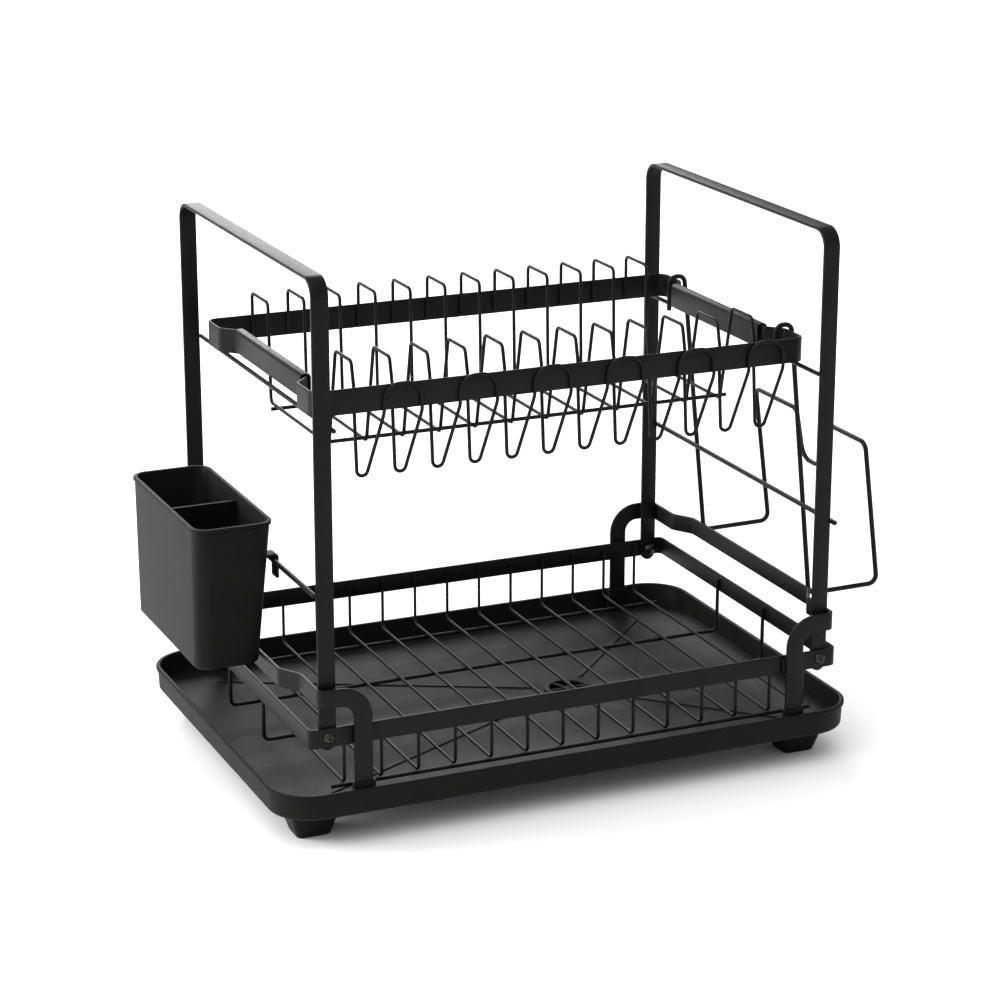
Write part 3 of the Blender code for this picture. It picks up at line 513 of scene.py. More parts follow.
def bent_wire_tree():
    """Round wire along straight runs, with each corner bent to the radius stored on it."""
    if "bent_wire" in bpy.data.node_groups:
        return bpy.data.node_groups["bent_wire"]
    tree, given, out = new_tree(
        "bent_wire",
        (
            ("Diameter", "NodeSocketFloat"),
            ("Sides", "NodeSocketInt"),
            ("Bend Steps", "NodeSocketInt"),
            ("Material", "NodeSocketMaterial"),
        ),
    )
    bend = add_node(tree, "GeometryNodeInputNamedAttribute", {"Name": "bend"}, data_type="FLOAT")
    runs = add_node(tree, "GeometryNodeMeshToCurve", None, {"Mesh": given.outputs["Geometry"]})
    bent = add_node(
        tree,
        "GeometryNodeFilletCurve",
        {"Limit Radius": True},
        {
            "Curve": runs.outputs[0],
            "Count": given.outputs["Bend Steps"],
            "Radius": bend.outputs["Attribute"],
        },
        mode="POLY",
    )
    half = add_node(
        tree, "ShaderNodeMath", {1: 0.5}, {0: given.outputs["Diameter"]}, operation="MULTIPLY"
    )
    ring = add_node(
        tree,
        "GeometryNodeCurvePrimitiveCircle",
        None,
        {"Resolution": given.outputs["Sides"], "Radius": half.outputs[0]},
        mode="RADIUS",
    )
    tube = add_node(
        tree,
        "GeometryNodeCurveToMesh",
        {"Fill Caps": True},
        {"Curve": bent.outputs[0], "Profile Curve": ring.outputs[0]},
    )
    return end_tree(tree, given, out, tube.outputs[0])


def set_on_points_tree():
    """One small shape set on each point and turned as the point says."""
    if "set_on_points" in bpy.data.node_groups:
        return bpy.data.node_groups["set_on_points"]
    tree, given, out = new_tree(
        "set_on_points", (("Shape", "NodeSocketObject"), ("Material", "NodeSocketMaterial"))
    )
    turn = add_node(
        tree, "GeometryNodeInputNamedAttribute", {"Name": "turn"}, data_type="FLOAT_VECTOR"
    )
    shape = add_node(tree, "GeometryNodeObjectInfo", None, {"Object": given.outputs["Shape"]})
    dots = add_node(
        tree, "GeometryNodeMeshToPoints", {"Radius": 0.001}, {"Mesh": given.outputs["Geometry"]}
    )
    copies = add_node(
        tree,
        "GeometryNodeInstanceOnPoints",
        None,
        {
            "Points": dots.outputs[0],
            "Instance": shape.outputs["Geometry"],
            "Rotation": turn.outputs["Attribute"],
        },
    )
    return end_tree(tree, given, out, copies.outputs[0])


def run_tree(piece, tree, values):
    """Runs a tree on a piece, its inputs set by their identifiers, and keeps plain mesh."""
    modifier = piece.modifiers.new("made", "NODES")
    modifier.node_group = tree
    for item in tree.interface.items_tree:
        if item.in_out == "INPUT" and item.name in values:
            modifier[item.identifier] = values[item.name]
    keep_evaluated(piece)


def make_wires(name, routes, diameter, material, sides=14, bend_steps=8):
    """Wires along routes, each a list of corners and one bend radius for each inner corner."""
    points, edges, bends = [], [], []
    for corners, radii in routes:
        start = len(points)
        points += [Vector(corner) for corner in corners]
        edges += [(start + step, start + step + 1) for step in range(len(corners) - 1)]
        bends += [0.0, *radii, 0.0]
    mesh = bpy.data.meshes.new(name)
    mesh.from_pydata(points, edges, [])
    stored = mesh.attributes.new("bend", "FLOAT", "POINT")
    stored.data.foreach_set("value", bends)
    piece = link_object(name, mesh)
    values = {"Diameter": diameter, "Sides": sides, "Bend Steps": bend_steps, "Material": material}
    run_tree(piece, bent_wire_tree(), values)
    smooth(piece, 50)
    return piece


def straight_route(node, along):
    """The route of a straight wire that fills a node's box from end to end."""
    low, high = place(node)
    reach = along * (high - low).dot(along) / 2
    middle = (low + high) / 2
    return [middle - reach, middle + reach], []


def cradle_route(node, along, diameter, bend):
    """The route of a wire that comes down, crosses the node's box and goes up again."""
    low, high = place(node)
    reach = along * ((high - low).dot(along) - diameter) / 2
    floor = low.z + diameter / 2
    corners = []
    for end, height in ((-1, high.z), (-1, floor), (1, floor), (1, high.z)):
        corner = (low + high) / 2 + reach * end
        corner.z = height
        corners.append(corner)
    return corners, [bend] * 2


def make_copies(name, shape, points, turns, material):
    """Copies of one shape at the points, each turned about the vertical."""
    mesh = bpy.data.meshes.new(name)
    mesh.from_pydata([Vector(point) for point in points], [], [])
    stored = mesh.attributes.new("turn", "FLOAT_VECTOR", "POINT")
    for item, turn in zip(stored.data, turns):
        item.vector = (0, 0, turn)
    piece = link_object(name, mesh)
    run_tree(piece, set_on_points_tree(), {"Shape": shape, "Material": material})
    smooth(piece, 35)
    bpy.data.objects.remove(shape)
    return piece


# --- Drip tray and drain -----------------------------------------------------

FOOT_TOP, FOOT_BOTTOM = (0.042, 0.036), (0.027, 0.024)
FOOT_PLACE = (0.2085, 0.1270)
RIB_START = 0.030  # from the drain's middle
RIB_END = (0.196, 0.130)
RIB_ROOT = 0.0012  # how far a rib reaches into the floor, to join it
DRAIN_HOLE = 0.0175
STRAINER_SLEEVE = 0.0168
STRAINER_WALL = 0.0014
SPOUT_WALL = 0.0016
SPOUT_WIDTH = 0.030
SPOUT_CUP = 0.0225
CUTTER_PAST = 0.01  # how far a cutter passes what it cuts


class RACK_OT_drip_tray(bpy.types.Operator):
    """Make the moulded drip tray with its feet and drainage ribs."""

    bl_idname = "dish_rack.drip_tray"
    bl_label = "Drip tray"

    def execute(self, context):
        sizes = settings().tray
        middle = (TRAY_LOW + TRAY_HIGH) / 2
        reach = (TRAY_HIGH - TRAY_LOW) / 2
        outside = sizes.lip + 0.0008
        inside = outside + sizes.wall
        under_lip = TRAY_RIM - sizes.lip_depth

        def loop(inset, height):
            a = (middle.x - reach.x + inset, middle.y - reach.y + inset)
            b = (middle.x + reach.x - inset, middle.y + reach.y - inset)
            return rounded_rectangle(a, b, sizes.corner - inset, height, steps=16)

        steps = []
        for step in range(6):
            turn = math.pi / 2 * step / 5
            inset = outside + sizes.bend * (1 - math.sin(turn))
            steps.append((inset, TRAY_UNDERSIDE + sizes.bend * (1 - math.cos(turn))))
        steps += [(sizes.lip + 0.0002, under_lip - 0.0004), (0.0004, under_lip), (0, under_lip + 0.0004)]
        half_rim = (inside - 0.0008) / 2
        for step in range(9):
            turn = math.pi * step / 8
            inset = half_rim * (1 - math.cos(turn))
            steps.append((inset, TRAY_RIM - 0.0010 + 0.0010 * math.sin(turn)))
        steps += [(inside, FLOOR_TOP + 0.0018), (inside + 0.0005, FLOOR_TOP + 0.0005)]
        steps += [(inside + 0.0018, FLOOR_TOP)]
        material = moulded_plastic()
        tray = new_piece("tray_shell", add_loft(bmesh.new(), [loop(*step) for step in steps]), material)

        hole = add_loft(bmesh.new(), [circle(DRAIN_HOLE, z, DRAIN) for z in (0, TRAY_RIM)])
        cut_or_join(tray, hole, "DIFFERENCE")
        for side in SIDES:
            for end in ENDS:
                centre = Vector((middle.x + side * FOOT_PLACE[0], middle.y + end * FOOT_PLACE[1]))
                loops = []
                seat = TRAY_UNDERSIDE + (FLOOR_TOP - TRAY_UNDERSIDE) / 3
                for size, height, trim in (
                    (FOOT_BOTTOM, 0, 0.0008),
                    (FOOT_BOTTOM, 0.0006, 0.0002),
                    (FOOT_TOP, TRAY_UNDERSIDE, 0),
                    (FOOT_TOP, seat, 0),
                ):
                    half = Vector(size) / 2 - Vector((trim, trim))
                    loops.append(rounded_rectangle(centre - half, centre + half, 0.004, height, 5))
                cut_or_join(tray, add_loft(bmesh.new(), loops), "UNION")
                corner = Vector((middle.x + side * RIB_END[0], middle.y + end * RIB_END[1], 0))
                along = (corner - DRAIN).normalized()
                lift = Z * (FLOOR_TOP + (sizes.rib_height - RIB_ROOT) / 2)
                path = [DRAIN + along * RIB_START + lift, corner + lift]
                depth = sizes.rib_height + RIB_ROOT
                rib = add_bar(bmesh.new(), path, depth, sizes.rib_width, across=Z, edge=0.0006)
                cut_or_join(tray, rib, "UNION")
        smooth(tray)
        settle(tray, "drip_tray", "plastic", "drip_tray")
        return {"FINISHED"}


class RACK_OT_drain(bpy.types.Operator):
    """Make the drain's strainer and the spout that swings under it."""

    bl_idname = "dish_rack.drain"
    bl_label = "Drain"

    def execute(self, context):
        flange = (STRAINER_HIGH.x - STRAINER_LOW.x) / 2
        top, bottom = STRAINER_HIGH.z, STRAINER_LOW.z
        bore = STRAINER_SLEEVE - STRAINER_WALL
        seat = FLOOR_TOP + GAP
        outline = [
            (bore, bottom),
            (STRAINER_SLEEVE, bottom),
            (STRAINER_SLEEVE, seat),
            (flange, seat),
            (flange, top - 0.0009),
            (flange - 0.0003, top - 0.0004),
            (flange - 0.0009, top),
            (bore + 0.0005, top),
            (bore, top - 0.0005),
        ]
        bm = add_ring(bmesh.new(), [circle(radius, height) for radius, height in outline])
        strainer = new_piece("strainer_ring", bm, moulded_plastic())
        for number in range(3):
            turn = math.pi * number / 3
            along = Vector((math.cos(turn), math.sin(turn), 0)) * (bore + STRAINER_WALL / 2)
            lift = Z * ((seat + top) / 2 - GAP)
            path = [lift - along, lift + along]
            bar = add_bar(bmesh.new(), path, top - seat, 0.0022, across=Z, edge=0.0004)
            cut_or_join(strainer, bar, "UNION")
        strainer.data.transform(Matrix.Translation(DRAIN))
        smooth(strainer)
        settle(strainer, "drip_tray", "plastic", "drain_strainer")

        spout_reach = DRAIN.x - SPOUT_LOW.x

        def outline_at(grow, height):
            radius, width = SPOUT_CUP + grow, SPOUT_WIDTH / 2 + grow
            join = math.asin(width / radius)
            points = []
            for step in range(41):
                turn = -(math.pi - join) + 2 * (math.pi - join) * step / 40
                points.append(Vector((radius * math.cos(turn), radius * math.sin(turn), height)))
            points.append(Vector((-spout_reach - grow, width, height)))
            points.append(Vector((-spout_reach - grow, -width, height)))
            return points

        low, high = SPOUT_LOW.z, SPOUT_HIGH.z
        levels = [(-0.0010, low), (-0.0003, low + 0.0003), (0, low + 0.0010), (0, high - 0.0005)]
        levels.append((-0.0003, high))
        loops = [outline_at(grow, height) for grow, height in levels]
        spout = new_piece("drain_trough", add_loft(bmesh.new(), loops), moulded_plastic())
        floor = low + SPOUT_WALL
        room = [outline_at(-SPOUT_WALL, height) for height in (floor, high + CUTTER_PAST)]
        cut_or_join(spout, add_loft(bmesh.new(), room), "DIFFERENCE")
        half = SPOUT_WIDTH / 2 - SPOUT_WALL
        mouth = [
            rounded_rectangle((-spout_reach - 0.02, -half), (-0.03, half), 0.0005, height, 2)
            for height in (floor, high + CUTTER_PAST)
        ]
        cut_or_join(spout, add_loft(bmesh.new(), mouth), "DIFFERENCE")
        spout.data.transform(Matrix.Translation(DRAIN))
        smooth(spout)
        settle(spout, "drain_spout", "plastic", "drain_spout")
        return {"FINISHED"}


# --- Basket ------------------------------------------------------------------


class RACK_OT_basket_band(bpy.types.Operator):
    """Make the flat band round the basket's top."""

    bl_idname = "dish_rack.basket_band"
    bl_label = "Basket band"

    def execute(self, context):
        thick = settings().bars.band
        half = Vector((BAND_HIGH.x - thick / 2, BAND_HIGH.y - thick / 2))
        path = rounded_rectangle(-half, half, 0.005, BAND_MIDDLE)
        height = BAND_HIGH.z - BAND_LOW.z
        bm = add_bar(bmesh.new(), path, height, thick, across=Z, closed=True)
        band = new_piece("lower_band", bm, powder_coat())
        settle(band, "basket", "steel", "basket_band")
        return {"FINISHED"}


class RACK_OT_basket_wires(bpy.types.Operator):
    """Make the basket's floor wires and the rails under them."""

    bl_idname = "dish_rack.basket_wires"
    bl_label = "Basket wires"

    def execute(self, context):
        sizes = settings().wires
        nodes = [f"basket_wire_{number:02d}" for number in range(1, 15)]
        routes = [cradle_route(node, Y, sizes.basket, sizes.basket_bend) for node in nodes]
        wires = make_wires("floor_wires", routes, sizes.basket, powder_coat(), sides=12)
        settle(wires, "basket", "steel", *nodes)
        bent, straight = ("long_wire_front", "long_wire_back"), ("front_rail", "back_rail")
        routes = [cradle_route(node, X, sizes.rail, sizes.basket_bend) for node in bent]
        routes += [straight_route(node, X) for node in straight]
        rails = make_wires("floor_rails", routes, sizes.rail, powder_coat())
        settle(rails, "basket", "steel", *bent, *straight)
        return {"FINISHED"}


SIDE_BAR_STEP = 0.0110  # from the bar beside a post out to the handle
SIDE_BAR_Y = (0.1190, 0.1010)  # where that step starts and where it ends
LEG_FRAME_BENDS = [0.0175, 0.0050, 0.0080, 0.0080]


class RACK_OT_leg_frames(bpy.types.Operator):
    """Make the bent flat bars that are legs, arches and carry handles in one."""

    bl_idname = "dish_rack.leg_frames"
    bl_label = "Leg frames"

    def execute(self, context):
        sizes = settings().bars
        cap_x = (CAP_LOW.x + CAP_HIGH.x) / 2
        for name, side in (("left", -1), ("right", 1)):
            low, high = place(f"leg_frame_{name}")
            outer = max(abs(low.x), abs(high.x)) - sizes.leg / 2
            z = high.z - sizes.leg_width / 2
            leg_y = high.y - sizes.leg / 2
            bar_x = outer - SIDE_BAR_STEP
            half = [
                (cap_x, leg_y, low.z),
                (cap_x, leg_y, z),
                (bar_x, leg_y, z),
                (bar_x, SIDE_BAR_Y[0], z),
                (outer, SIDE_BAR_Y[1], z),
            ]
            corners = [(side * x, -y, h) for x, y, h in half]
            corners += [(side * x, y, h) for x, y, h in reversed(half)]
            bends = LEG_FRAME_BENDS + LEG_FRAME_BENDS[::-1]
            path = rounded_path(corners, bends, steps=12)
            bm = add_bar(bmesh.new(), path, sizes.leg_width, sizes.leg)
            frame_piece = new_piece(f"carry_frame_{name}", bm, powder_coat())
            settle(frame_piece, "basket", "steel", f"leg_frame_{name}")
        return {"FINISHED"}


class RACK_OT_leg_caps(bpy.types.Operator):
    """Make the moulded boots on the legs and the welded tabs beside them."""

    bl_idname = "dish_rack.leg_caps"
    bl_label = "Leg caps"

    def execute(self, context):
        boots, tabs = bmesh.new(), bmesh.new()
        boot_nodes, tab_nodes = [], []
        for side in ("left", "right"):
            for end in ("front", "back"):
                boot_nodes.append(f"leg_cap_{end}_{side}")
                low, high = place(boot_nodes[-1])
                centre = Vector(((low.x + high.x) / 2, (low.y + high.y) / 2))
                reach = Vector(((high.x - low.x) / 2, (high.y - low.y) / 2))
                pocket = Vector((settings().bars.leg_width, settings().bars.leg)) / 2
                pocket += Vector((GAP, GAP))
                loops = []
                for trim, height in (
                    (0.0008, low.z),
                    (0.0002, low.z + 0.0003),
                    (0, low.z + 0.0010),
                    (0, high.z - 0.0006),
                    (0.0002, high.z - 0.0001),
                    (0.0006, high.z),
                ):
                    half = reach - Vector((trim, trim))
                    loops.append(rounded_rectangle(centre - half, centre + half, 0.0012, height, 5))
                for height in (high.z, low.z + 0.0020):
                    loops.append(rounded_rectangle(centre - pocket, centre + pocket, 0, height, 5))
                add_loft(boots, loops)
                tab_nodes.append(f"spacer_{end}_{side}")
                low, high = place(tab_nodes[-1])
                rounded_block(tabs, low, high, 0.0005)
        boots = new_piece("leg_boots", boots, moulded_plastic())
        settle(boots, "basket", "plastic", *boot_nodes)
        tabs = new_piece("weld_tabs", tabs, powder_coat())
        settle(tabs, "basket", "steel", *tab_nodes)
        return {"FINISHED"}


# --- Hoops -------------------------------------------------------------------

HOOP_BEND = 0.0136
HEAD_DEPTH = 0.0024
SHANK_RADIUS = 0.0020
RECESS_REACH, RECESS_DEPTH, RECESS_WIDTH = 0.0021, 0.0018, 0.0008


class RACK_OT_hoops(bpy.types.Operator):
    """Make the two tall hoops and the wires across them."""

    bl_idname = "dish_rack.hoops"
    bl_label = "Hoops"

    def execute(self, context):
        thick = settings().bars.hoop
        width = HOOP_HIGH.x - HOOP_LOW.x
        y, top = HOOP_HIGH.y - thick / 2, HOOP_HIGH.z - thick / 2
        for name, side in (("left", -1), ("right", 1)):
            x = side * HOOP_X
            corners = [(x, -y, HOOP_LOW.z), (x, -y, top), (x, y, top), (x, y, HOOP_LOW.z)]
            path = rounded_path(corners, HOOP_BEND, steps=14)
            path, widths = self.round_ends(path, width)
            bm = add_bar(bmesh.new(), path, width, thick, across=X, widths=widths)
            hoop = new_piece(f"post_hoop_{name}", bm, powder_coat())
            settle(hoop, "basket", "steel", f"hoop_{name}")
        sizes = settings().wires
        for kind, diameter in (("support", sizes.support), ("cross", sizes.cross)):
            nodes = [f"{kind}_wire_left", f"{kind}_wire_right"]
            routes = [straight_route(node, Y) for node in nodes]
            wires = make_wires(f"{kind}_wires", routes, diameter, powder_coat(), sides=16)
            settle(wires, "basket", "steel", *nodes)
        return {"FINISHED"}

    def round_ends(self, path, width, steps=8):
        """Half-round ends: extra points at both ends, and the bar's width at each point."""
        widths = [width] * len(path)
        for end in (0, -1):
            tip = path[end]
            near = path[1] if end == 0 else path[-2]
            inward = (near - tip).normalized()
            places, sizes = [], []
            for step in range(steps + 1):
                turn = math.pi / 2 * step / steps
                places.append(tip + inward * width / 2 * (1 - math.sin(turn)))
                sizes.append(width * max(0.16, math.cos(turn)))
            if end == 0:
                path, widths = places[::-1] + path[1:], sizes[::-1] + widths[1:]
            else:
                path, widths = path[:-1] + places, widths[:-1] + sizes
        return path, widths


class RACK_OT_screws(bpy.types.Operator):
    """Make the screws at the hoops' feet and the domed nuts behind them."""

    bl_idname = "dish_rack.screws"
    bl_label = "Screws"

    def execute(self, context):
        names = [f"{end}_{side}" for side in ("left", "right") for end in ("front", "back")]
        for kind, make in (("screw", self.screw), ("cap_nut", self.nut)):
            nodes = [f"{kind}_{name}" for name in names]
            points, turns = [], []
            for node in nodes:
                low, high = place(node)
                front = "front" in node
                y = low.y if front else high.y
                points.append(((low.x + high.x) / 2, y, BAND_MIDDLE))
                turns.append(0 if front else math.pi)
            low, high = place(f"{kind}_front_left")
            shape = make((high.x - low.x) / 2, high.y - low.y)
            copies = make_copies(f"hoop_{kind}s", shape, points, turns, blackened_steel())
            settle(copies, "basket", "screw", *nodes)
        return {"FINISHED"}

    def turned(self, name, profile, count=32):
        """A round solid along Y from (radius, y) pairs."""
        bm = bmesh.new()
        loops = []
        for radius, y in profile:
            turns = [2 * math.pi * step / count for step in range(count)]
            loops.append([Vector((radius * math.cos(t), y, radius * math.sin(t))) for t in turns])
        add_loft(bm, loops)
        return new_piece(name, bm, blackened_steel())

    def screw(self, radius, long):
        """A domed head with a cross recess, its face at y = 0, and its shank behind."""
        profile = []
        for step in range(9):
            turn = math.pi / 2 * (8 - step + 1.6) / 9.6
            profile.append((radius * math.cos(turn), HEAD_DEPTH * (1 - math.sin(turn)) / 0.98))
        profile += [(radius, HEAD_DEPTH), (SHANK_RADIUS, HEAD_DEPTH), (SHANK_RADIUS, long)]
        piece = self.turned("screw_shape", profile)
        for turn in (0.0, math.pi / 2):
            along = Vector((math.cos(turn), 0, math.sin(turn))) * RECESS_REACH
            path = [Y * 0.0003 - along, Y * 0.0003 + along]
            slot = add_bar(bmesh.new(), path, RECESS_DEPTH, RECESS_WIDTH, across=Y, edge=0.0001)
            cut_or_join(piece, slot, "DIFFERENCE")
        return piece

    def nut(self, radius, long):
        """A domed cap nut, its open side at y = 0, against the post."""
        profile = [(radius - 0.0004, 0), (radius, 0.0004), (radius, long * 0.55)]
        for step in range(1, 8):
            turn = math.pi / 2 * step / 7.6
            profile.append((radius * math.cos(turn), long * (0.55 + 0.45 * math.sin(turn))))
        return self.turned("nut_shape", profile)


# --- Plate rack --------------------------------------------------------------

RACK_NECK = 0.0120
RACK_STEP = (0.0900, 0.0770)
RACK_BENDS = [0.0080, *[0.0060] * 4, 0.0080]
GRIP_SHEET = 0.0012
GRIP_BEND = 0.0024


class RACK_OT_rack_band(bpy.types.Operator):
    """Make the plate rack's band and the two folded grips over its inset sides."""

    bl_idname = "dish_rack.rack_band"
    bl_label = "Rack band and grips"

    def execute(self, context):
        thick = settings().bars.band
        x, y = RACK_HIGH.x - thick / 2, RACK_HIGH.y - thick / 2
        start, end = RACK_STEP
        right = [(x, -y), (x, -start), (x - RACK_NECK, -end), (x - RACK_NECK, end), (x, start), (x, y)]
        corners = right + [(-a, -b) for a, b in right]
        middle = (RACK_LOW.z + RACK_HIGH.z) / 2
        level = [(a, b, middle) for a, b in corners]
        path = rounded_path(level, RACK_BENDS * 2, steps=10, closed=True)
        height = RACK_HIGH.z - RACK_LOW.z
        bm = add_bar(bmesh.new(), path, height, thick, across=Z, closed=True)
        band = new_piece("upper_band", bm, powder_coat())
        settle(band, "plate_rack", "steel", "rack_band")
        for name in ("left", "right"):
            low, high = place(f"grip_{name}")
            inset = GRIP_SHEET / 2
            a, b, top = low.x + inset, high.x - inset, high.z - inset
            corners = [(a, 0, low.z), (a, 0, top), (b, 0, top), (b, 0, low.z)]
            path = rounded_path(corners, GRIP_BEND, steps=8)
            bm = add_bar(bmesh.new(), path, high.y - low.y, GRIP_SHEET, Y, edge=0.0004)
            grip = new_piece(f"hand_grip_{name}", bm, powder_coat())
            settle(grip, "plate_rack", "steel", f"grip_{name}")
        return {"FINISHED"}


# Heights and places along Y of a divider's corners
BACK_TOP, FRONT_TOP, HUMP_TOP = 0.3605, 0.3573, 0.3420
BACK_TOP_Y, BACK_FOOT_Y = 0.0800, 0.0775
FRONT_FOOT_Y, FRONT_TOP_Y, FRONT_LEG_Y = -0.0540, (-0.0710, -0.1035), -0.1085
DIVIDER_FLOOR, V_BOTTOM, V_BOTTOM_Y = 0.2798, 0.2720, -0.1150
V_LEAN, V_BOTTOM_WIDTH, V_ARM, V_BEND = -0.0010, 0.0075, 0.0177, 0.0042
BAND_LAP = 0.0020
WIRE_TURN = (0.0100, 0.0200)  # bends above and below the band
HUMP_LEAN, HUMP_ROUND = 0.0006, 0.4016  # the second as a share of the pitch
DIVIDERS = 6
RAIL_STUB = 0.0030  # from the rail's end to the first divider


class RACK_OT_dividers(bpy.types.Operator):
    """Make the bent wires that plates stand between, and the rails under them."""

    bl_idname = "dish_rack.dividers"
    bl_label = "Dividers"

    def half(self, x, inside):
        """One divider from its back end to the bottom of its V."""
        corners = [
            (x, inside, RACK_LOW.z + BAND_LAP),
            (x, inside, BACK_TOP),
            (x, BACK_TOP_Y, BACK_TOP),
            (x, BACK_FOOT_Y, DIVIDER_FLOOR),
            (x, FRONT_FOOT_Y, DIVIDER_FLOOR),
            (x, FRONT_TOP_Y[0], FRONT_TOP),
            (x, FRONT_TOP_Y[1], FRONT_TOP),
            (x, FRONT_LEG_Y, RACK_HIGH.z - 2 * BAND_LAP),
            (x, FRONT_LEG_Y, RACK_LOW.z - BAND_LAP),
            (x + V_LEAN, V_BOTTOM_Y, V_BOTTOM),
            (x + V_LEAN + V_BOTTOM_WIDTH, V_BOTTOM_Y, V_BOTTOM),
        ]
        return corners, [settings().wires.divider_bend] * 6 + [*WIRE_TURN, V_BEND, V_BEND]

    def execute(self, context):
        sizes = settings().wires
        inside = RACK_HIGH.y - settings().bars.band - GAP - sizes.divider / 2
        outside = RACK_HIGH.y + GAP + sizes.divider / 2
        low = RACK_LOW.z - BAND_LAP
        routes, nodes = [], [f"divider_wire_{number}" for number in range(1, DIVIDERS + 1)]
        rail_low, rail_high = place("rack_rail_back")
        pitch = (rail_high.x - rail_low.x - 2 * RAIL_STUB) / (2 * DIVIDERS - 1)
        for number in range(DIVIDERS):
            x_left = rail_low.x + RAIL_STUB + 2 * number * pitch
            left, left_bends = self.half(x_left, inside)
            right, right_bends = self.half(x_left + pitch, inside)
            arms = (x_left + V_ARM, x_left + pitch + V_ARM)
            hump = [
                (arms[0], -outside, low),
                (arms[0] + HUMP_LEAN, -outside, HUMP_TOP),
                (arms[1] - HUMP_LEAN, -outside, HUMP_TOP),
                (arms[1], -outside, low),
            ]
            hump_bends = [WIRE_TURN[1], *[pitch * HUMP_ROUND] * 2, WIRE_TURN[1]]
            bends = left_bends + hump_bends + right_bends[::-1]
            routes.append((left + hump + right[::-1], bends))
        wires = make_wires("plate_wires", routes, sizes.divider, powder_coat(), sides=12)
        settle(wires, "plate_rack", "steel", *nodes)
        nodes = ("rack_rail_front", "rack_rail_back")
        routes = [straight_route(node, X) for node in nodes]
        rails = make_wires("plate_rails", routes, sizes.rack_rail, powder_coat())
        settle(rails, "plate_rack", "steel", *nodes)
        return {"FINISHED"}


# --- Caddy and board holder --------------------------------------------------

CADDY_LEAN_ROOM = 0.0014
CADDY_TAPER = 0.0030
CADDY_DIVIDER_Y = 0.0060
CADDY_DIVIDER_DROP = 0.0060
HOOK_SIZE = (0.0120, 0.0022, 0.0180)
HOOK_BEND = 0.0016
HOOK_INSET = 0.0160


class RACK_OT_caddy(bpy.types.Operator):
    """Make the moulded cutlery caddy with its divider and hooks."""

    bl_idname = "dish_rack.caddy"
    bl_label = "Cutlery caddy"

    def execute(self, context):
        sizes = settings().caddy
        bottom, top = CADDY_LOW.z, CADDY_HIGH.z
        left, front, back = CADDY_LOW.x + sizes.rim, CADDY_LOW.y + sizes.rim, CADDY_HIGH.y - sizes.rim
        wire_low, wire_high = place("cross_wire_left")
        right = wire_low.x
        lean = right - (place("leg_frame_left")[0].x - CADDY_LEAN_ROOM)

        def loop(inset, height):
            depth = (top - height) / (top - bottom)
            taper = CADDY_TAPER * depth
            a = (left + inset, front + taper + inset)
            b = (right - lean * depth - inset, back - taper - inset)
            return rounded_rectangle(a, b, max(0.002, sizes.corner - inset), height, steps=12)

        rim = top - 0.0040
        wall = sizes.wall
        steps = []
        for step in range(6):
            turn = math.pi / 2 * step / 5
            steps.append((0.0024 * (1 - math.sin(turn)), bottom + 0.0024 * (1 - math.cos(turn))))
        steps += [(0, rim), (-sizes.rim, rim + sizes.rim), (-sizes.rim, top - 0.0008)]
        steps += [(0.0003 - sizes.rim, top - 0.0002), (0.0009 - sizes.rim, top)]
        steps += [(wall - 0.0008, top), (wall - 0.0002, top - 0.0002), (wall, top - 0.0008)]
        steps += [(wall, bottom + wall + 0.002), (wall + 0.0006, bottom + wall + 0.0006)]
        steps += [(wall + 0.002, bottom + wall)]
        bm = add_loft(bmesh.new(), [loop(*step) for step in steps])
        caddy = new_piece("caddy_cup", bm, moulded_plastic())
        divider = bmesh.new()
        ends = []
        for height in (bottom + wall / 2, top - CADDY_DIVIDER_DROP):
            depth = (top - height) / (top - bottom)
            a = (left + wall / 2, CADDY_DIVIDER_Y - wall / 2)
            b = (right - lean * depth - wall / 2, CADDY_DIVIDER_Y + wall / 2)
            ends.append(rounded_rectangle(a, b, 0.0004, height, 3))
        cut_or_join(caddy, add_loft(divider, ends), "UNION")
        width, thick, drop = HOOK_SIZE
        hook_top = wire_high.z + GAP + thick / 2
        depth = (top - hook_top) / (top - bottom)
        root = right - lean * depth - wall / 2
        tip = wire_high.x + GAP + thick / 2
        for y in (front + HOOK_INSET, back - HOOK_INSET):
            corners = [(root, y, hook_top), (tip, y, hook_top), (tip, y, hook_top - drop)]
            hook = add_bar(bmesh.new(), rounded_path(corners, HOOK_BEND), width, thick, across=Y)
            cut_or_join(caddy, hook, "UNION")
        smooth(caddy)
        settle(caddy, "cutlery_caddy", "plastic", "cutlery_caddy")
        return {"FINISHED"}


HOLDER_Y = 0.0920
HOLDER_SEAT = 0.0034
HOLDER_PLAY = 0.0006
HOLDER_HOOK_END = 0.3165
# (x from the side bar, height) of the shoulder, the foot, the outer end, the top and the valley
HOLDER_CORNERS = (
    (-0.0043, 0.3140),
    (0.0162, 0.1170),
    (0.0802, 0.1175),
    (0.0642, 0.2390),
    (0.0687, 0.1970),
)
HOLDER_VALLEY_Y = (0.0205, 0.0150)
HOLDER_SHOULDER_STEP = 0.0035
HOLDER_BENDS = [0.0062, 0.0062, 0.0300, *[0.0070] * 4, 0.0130]


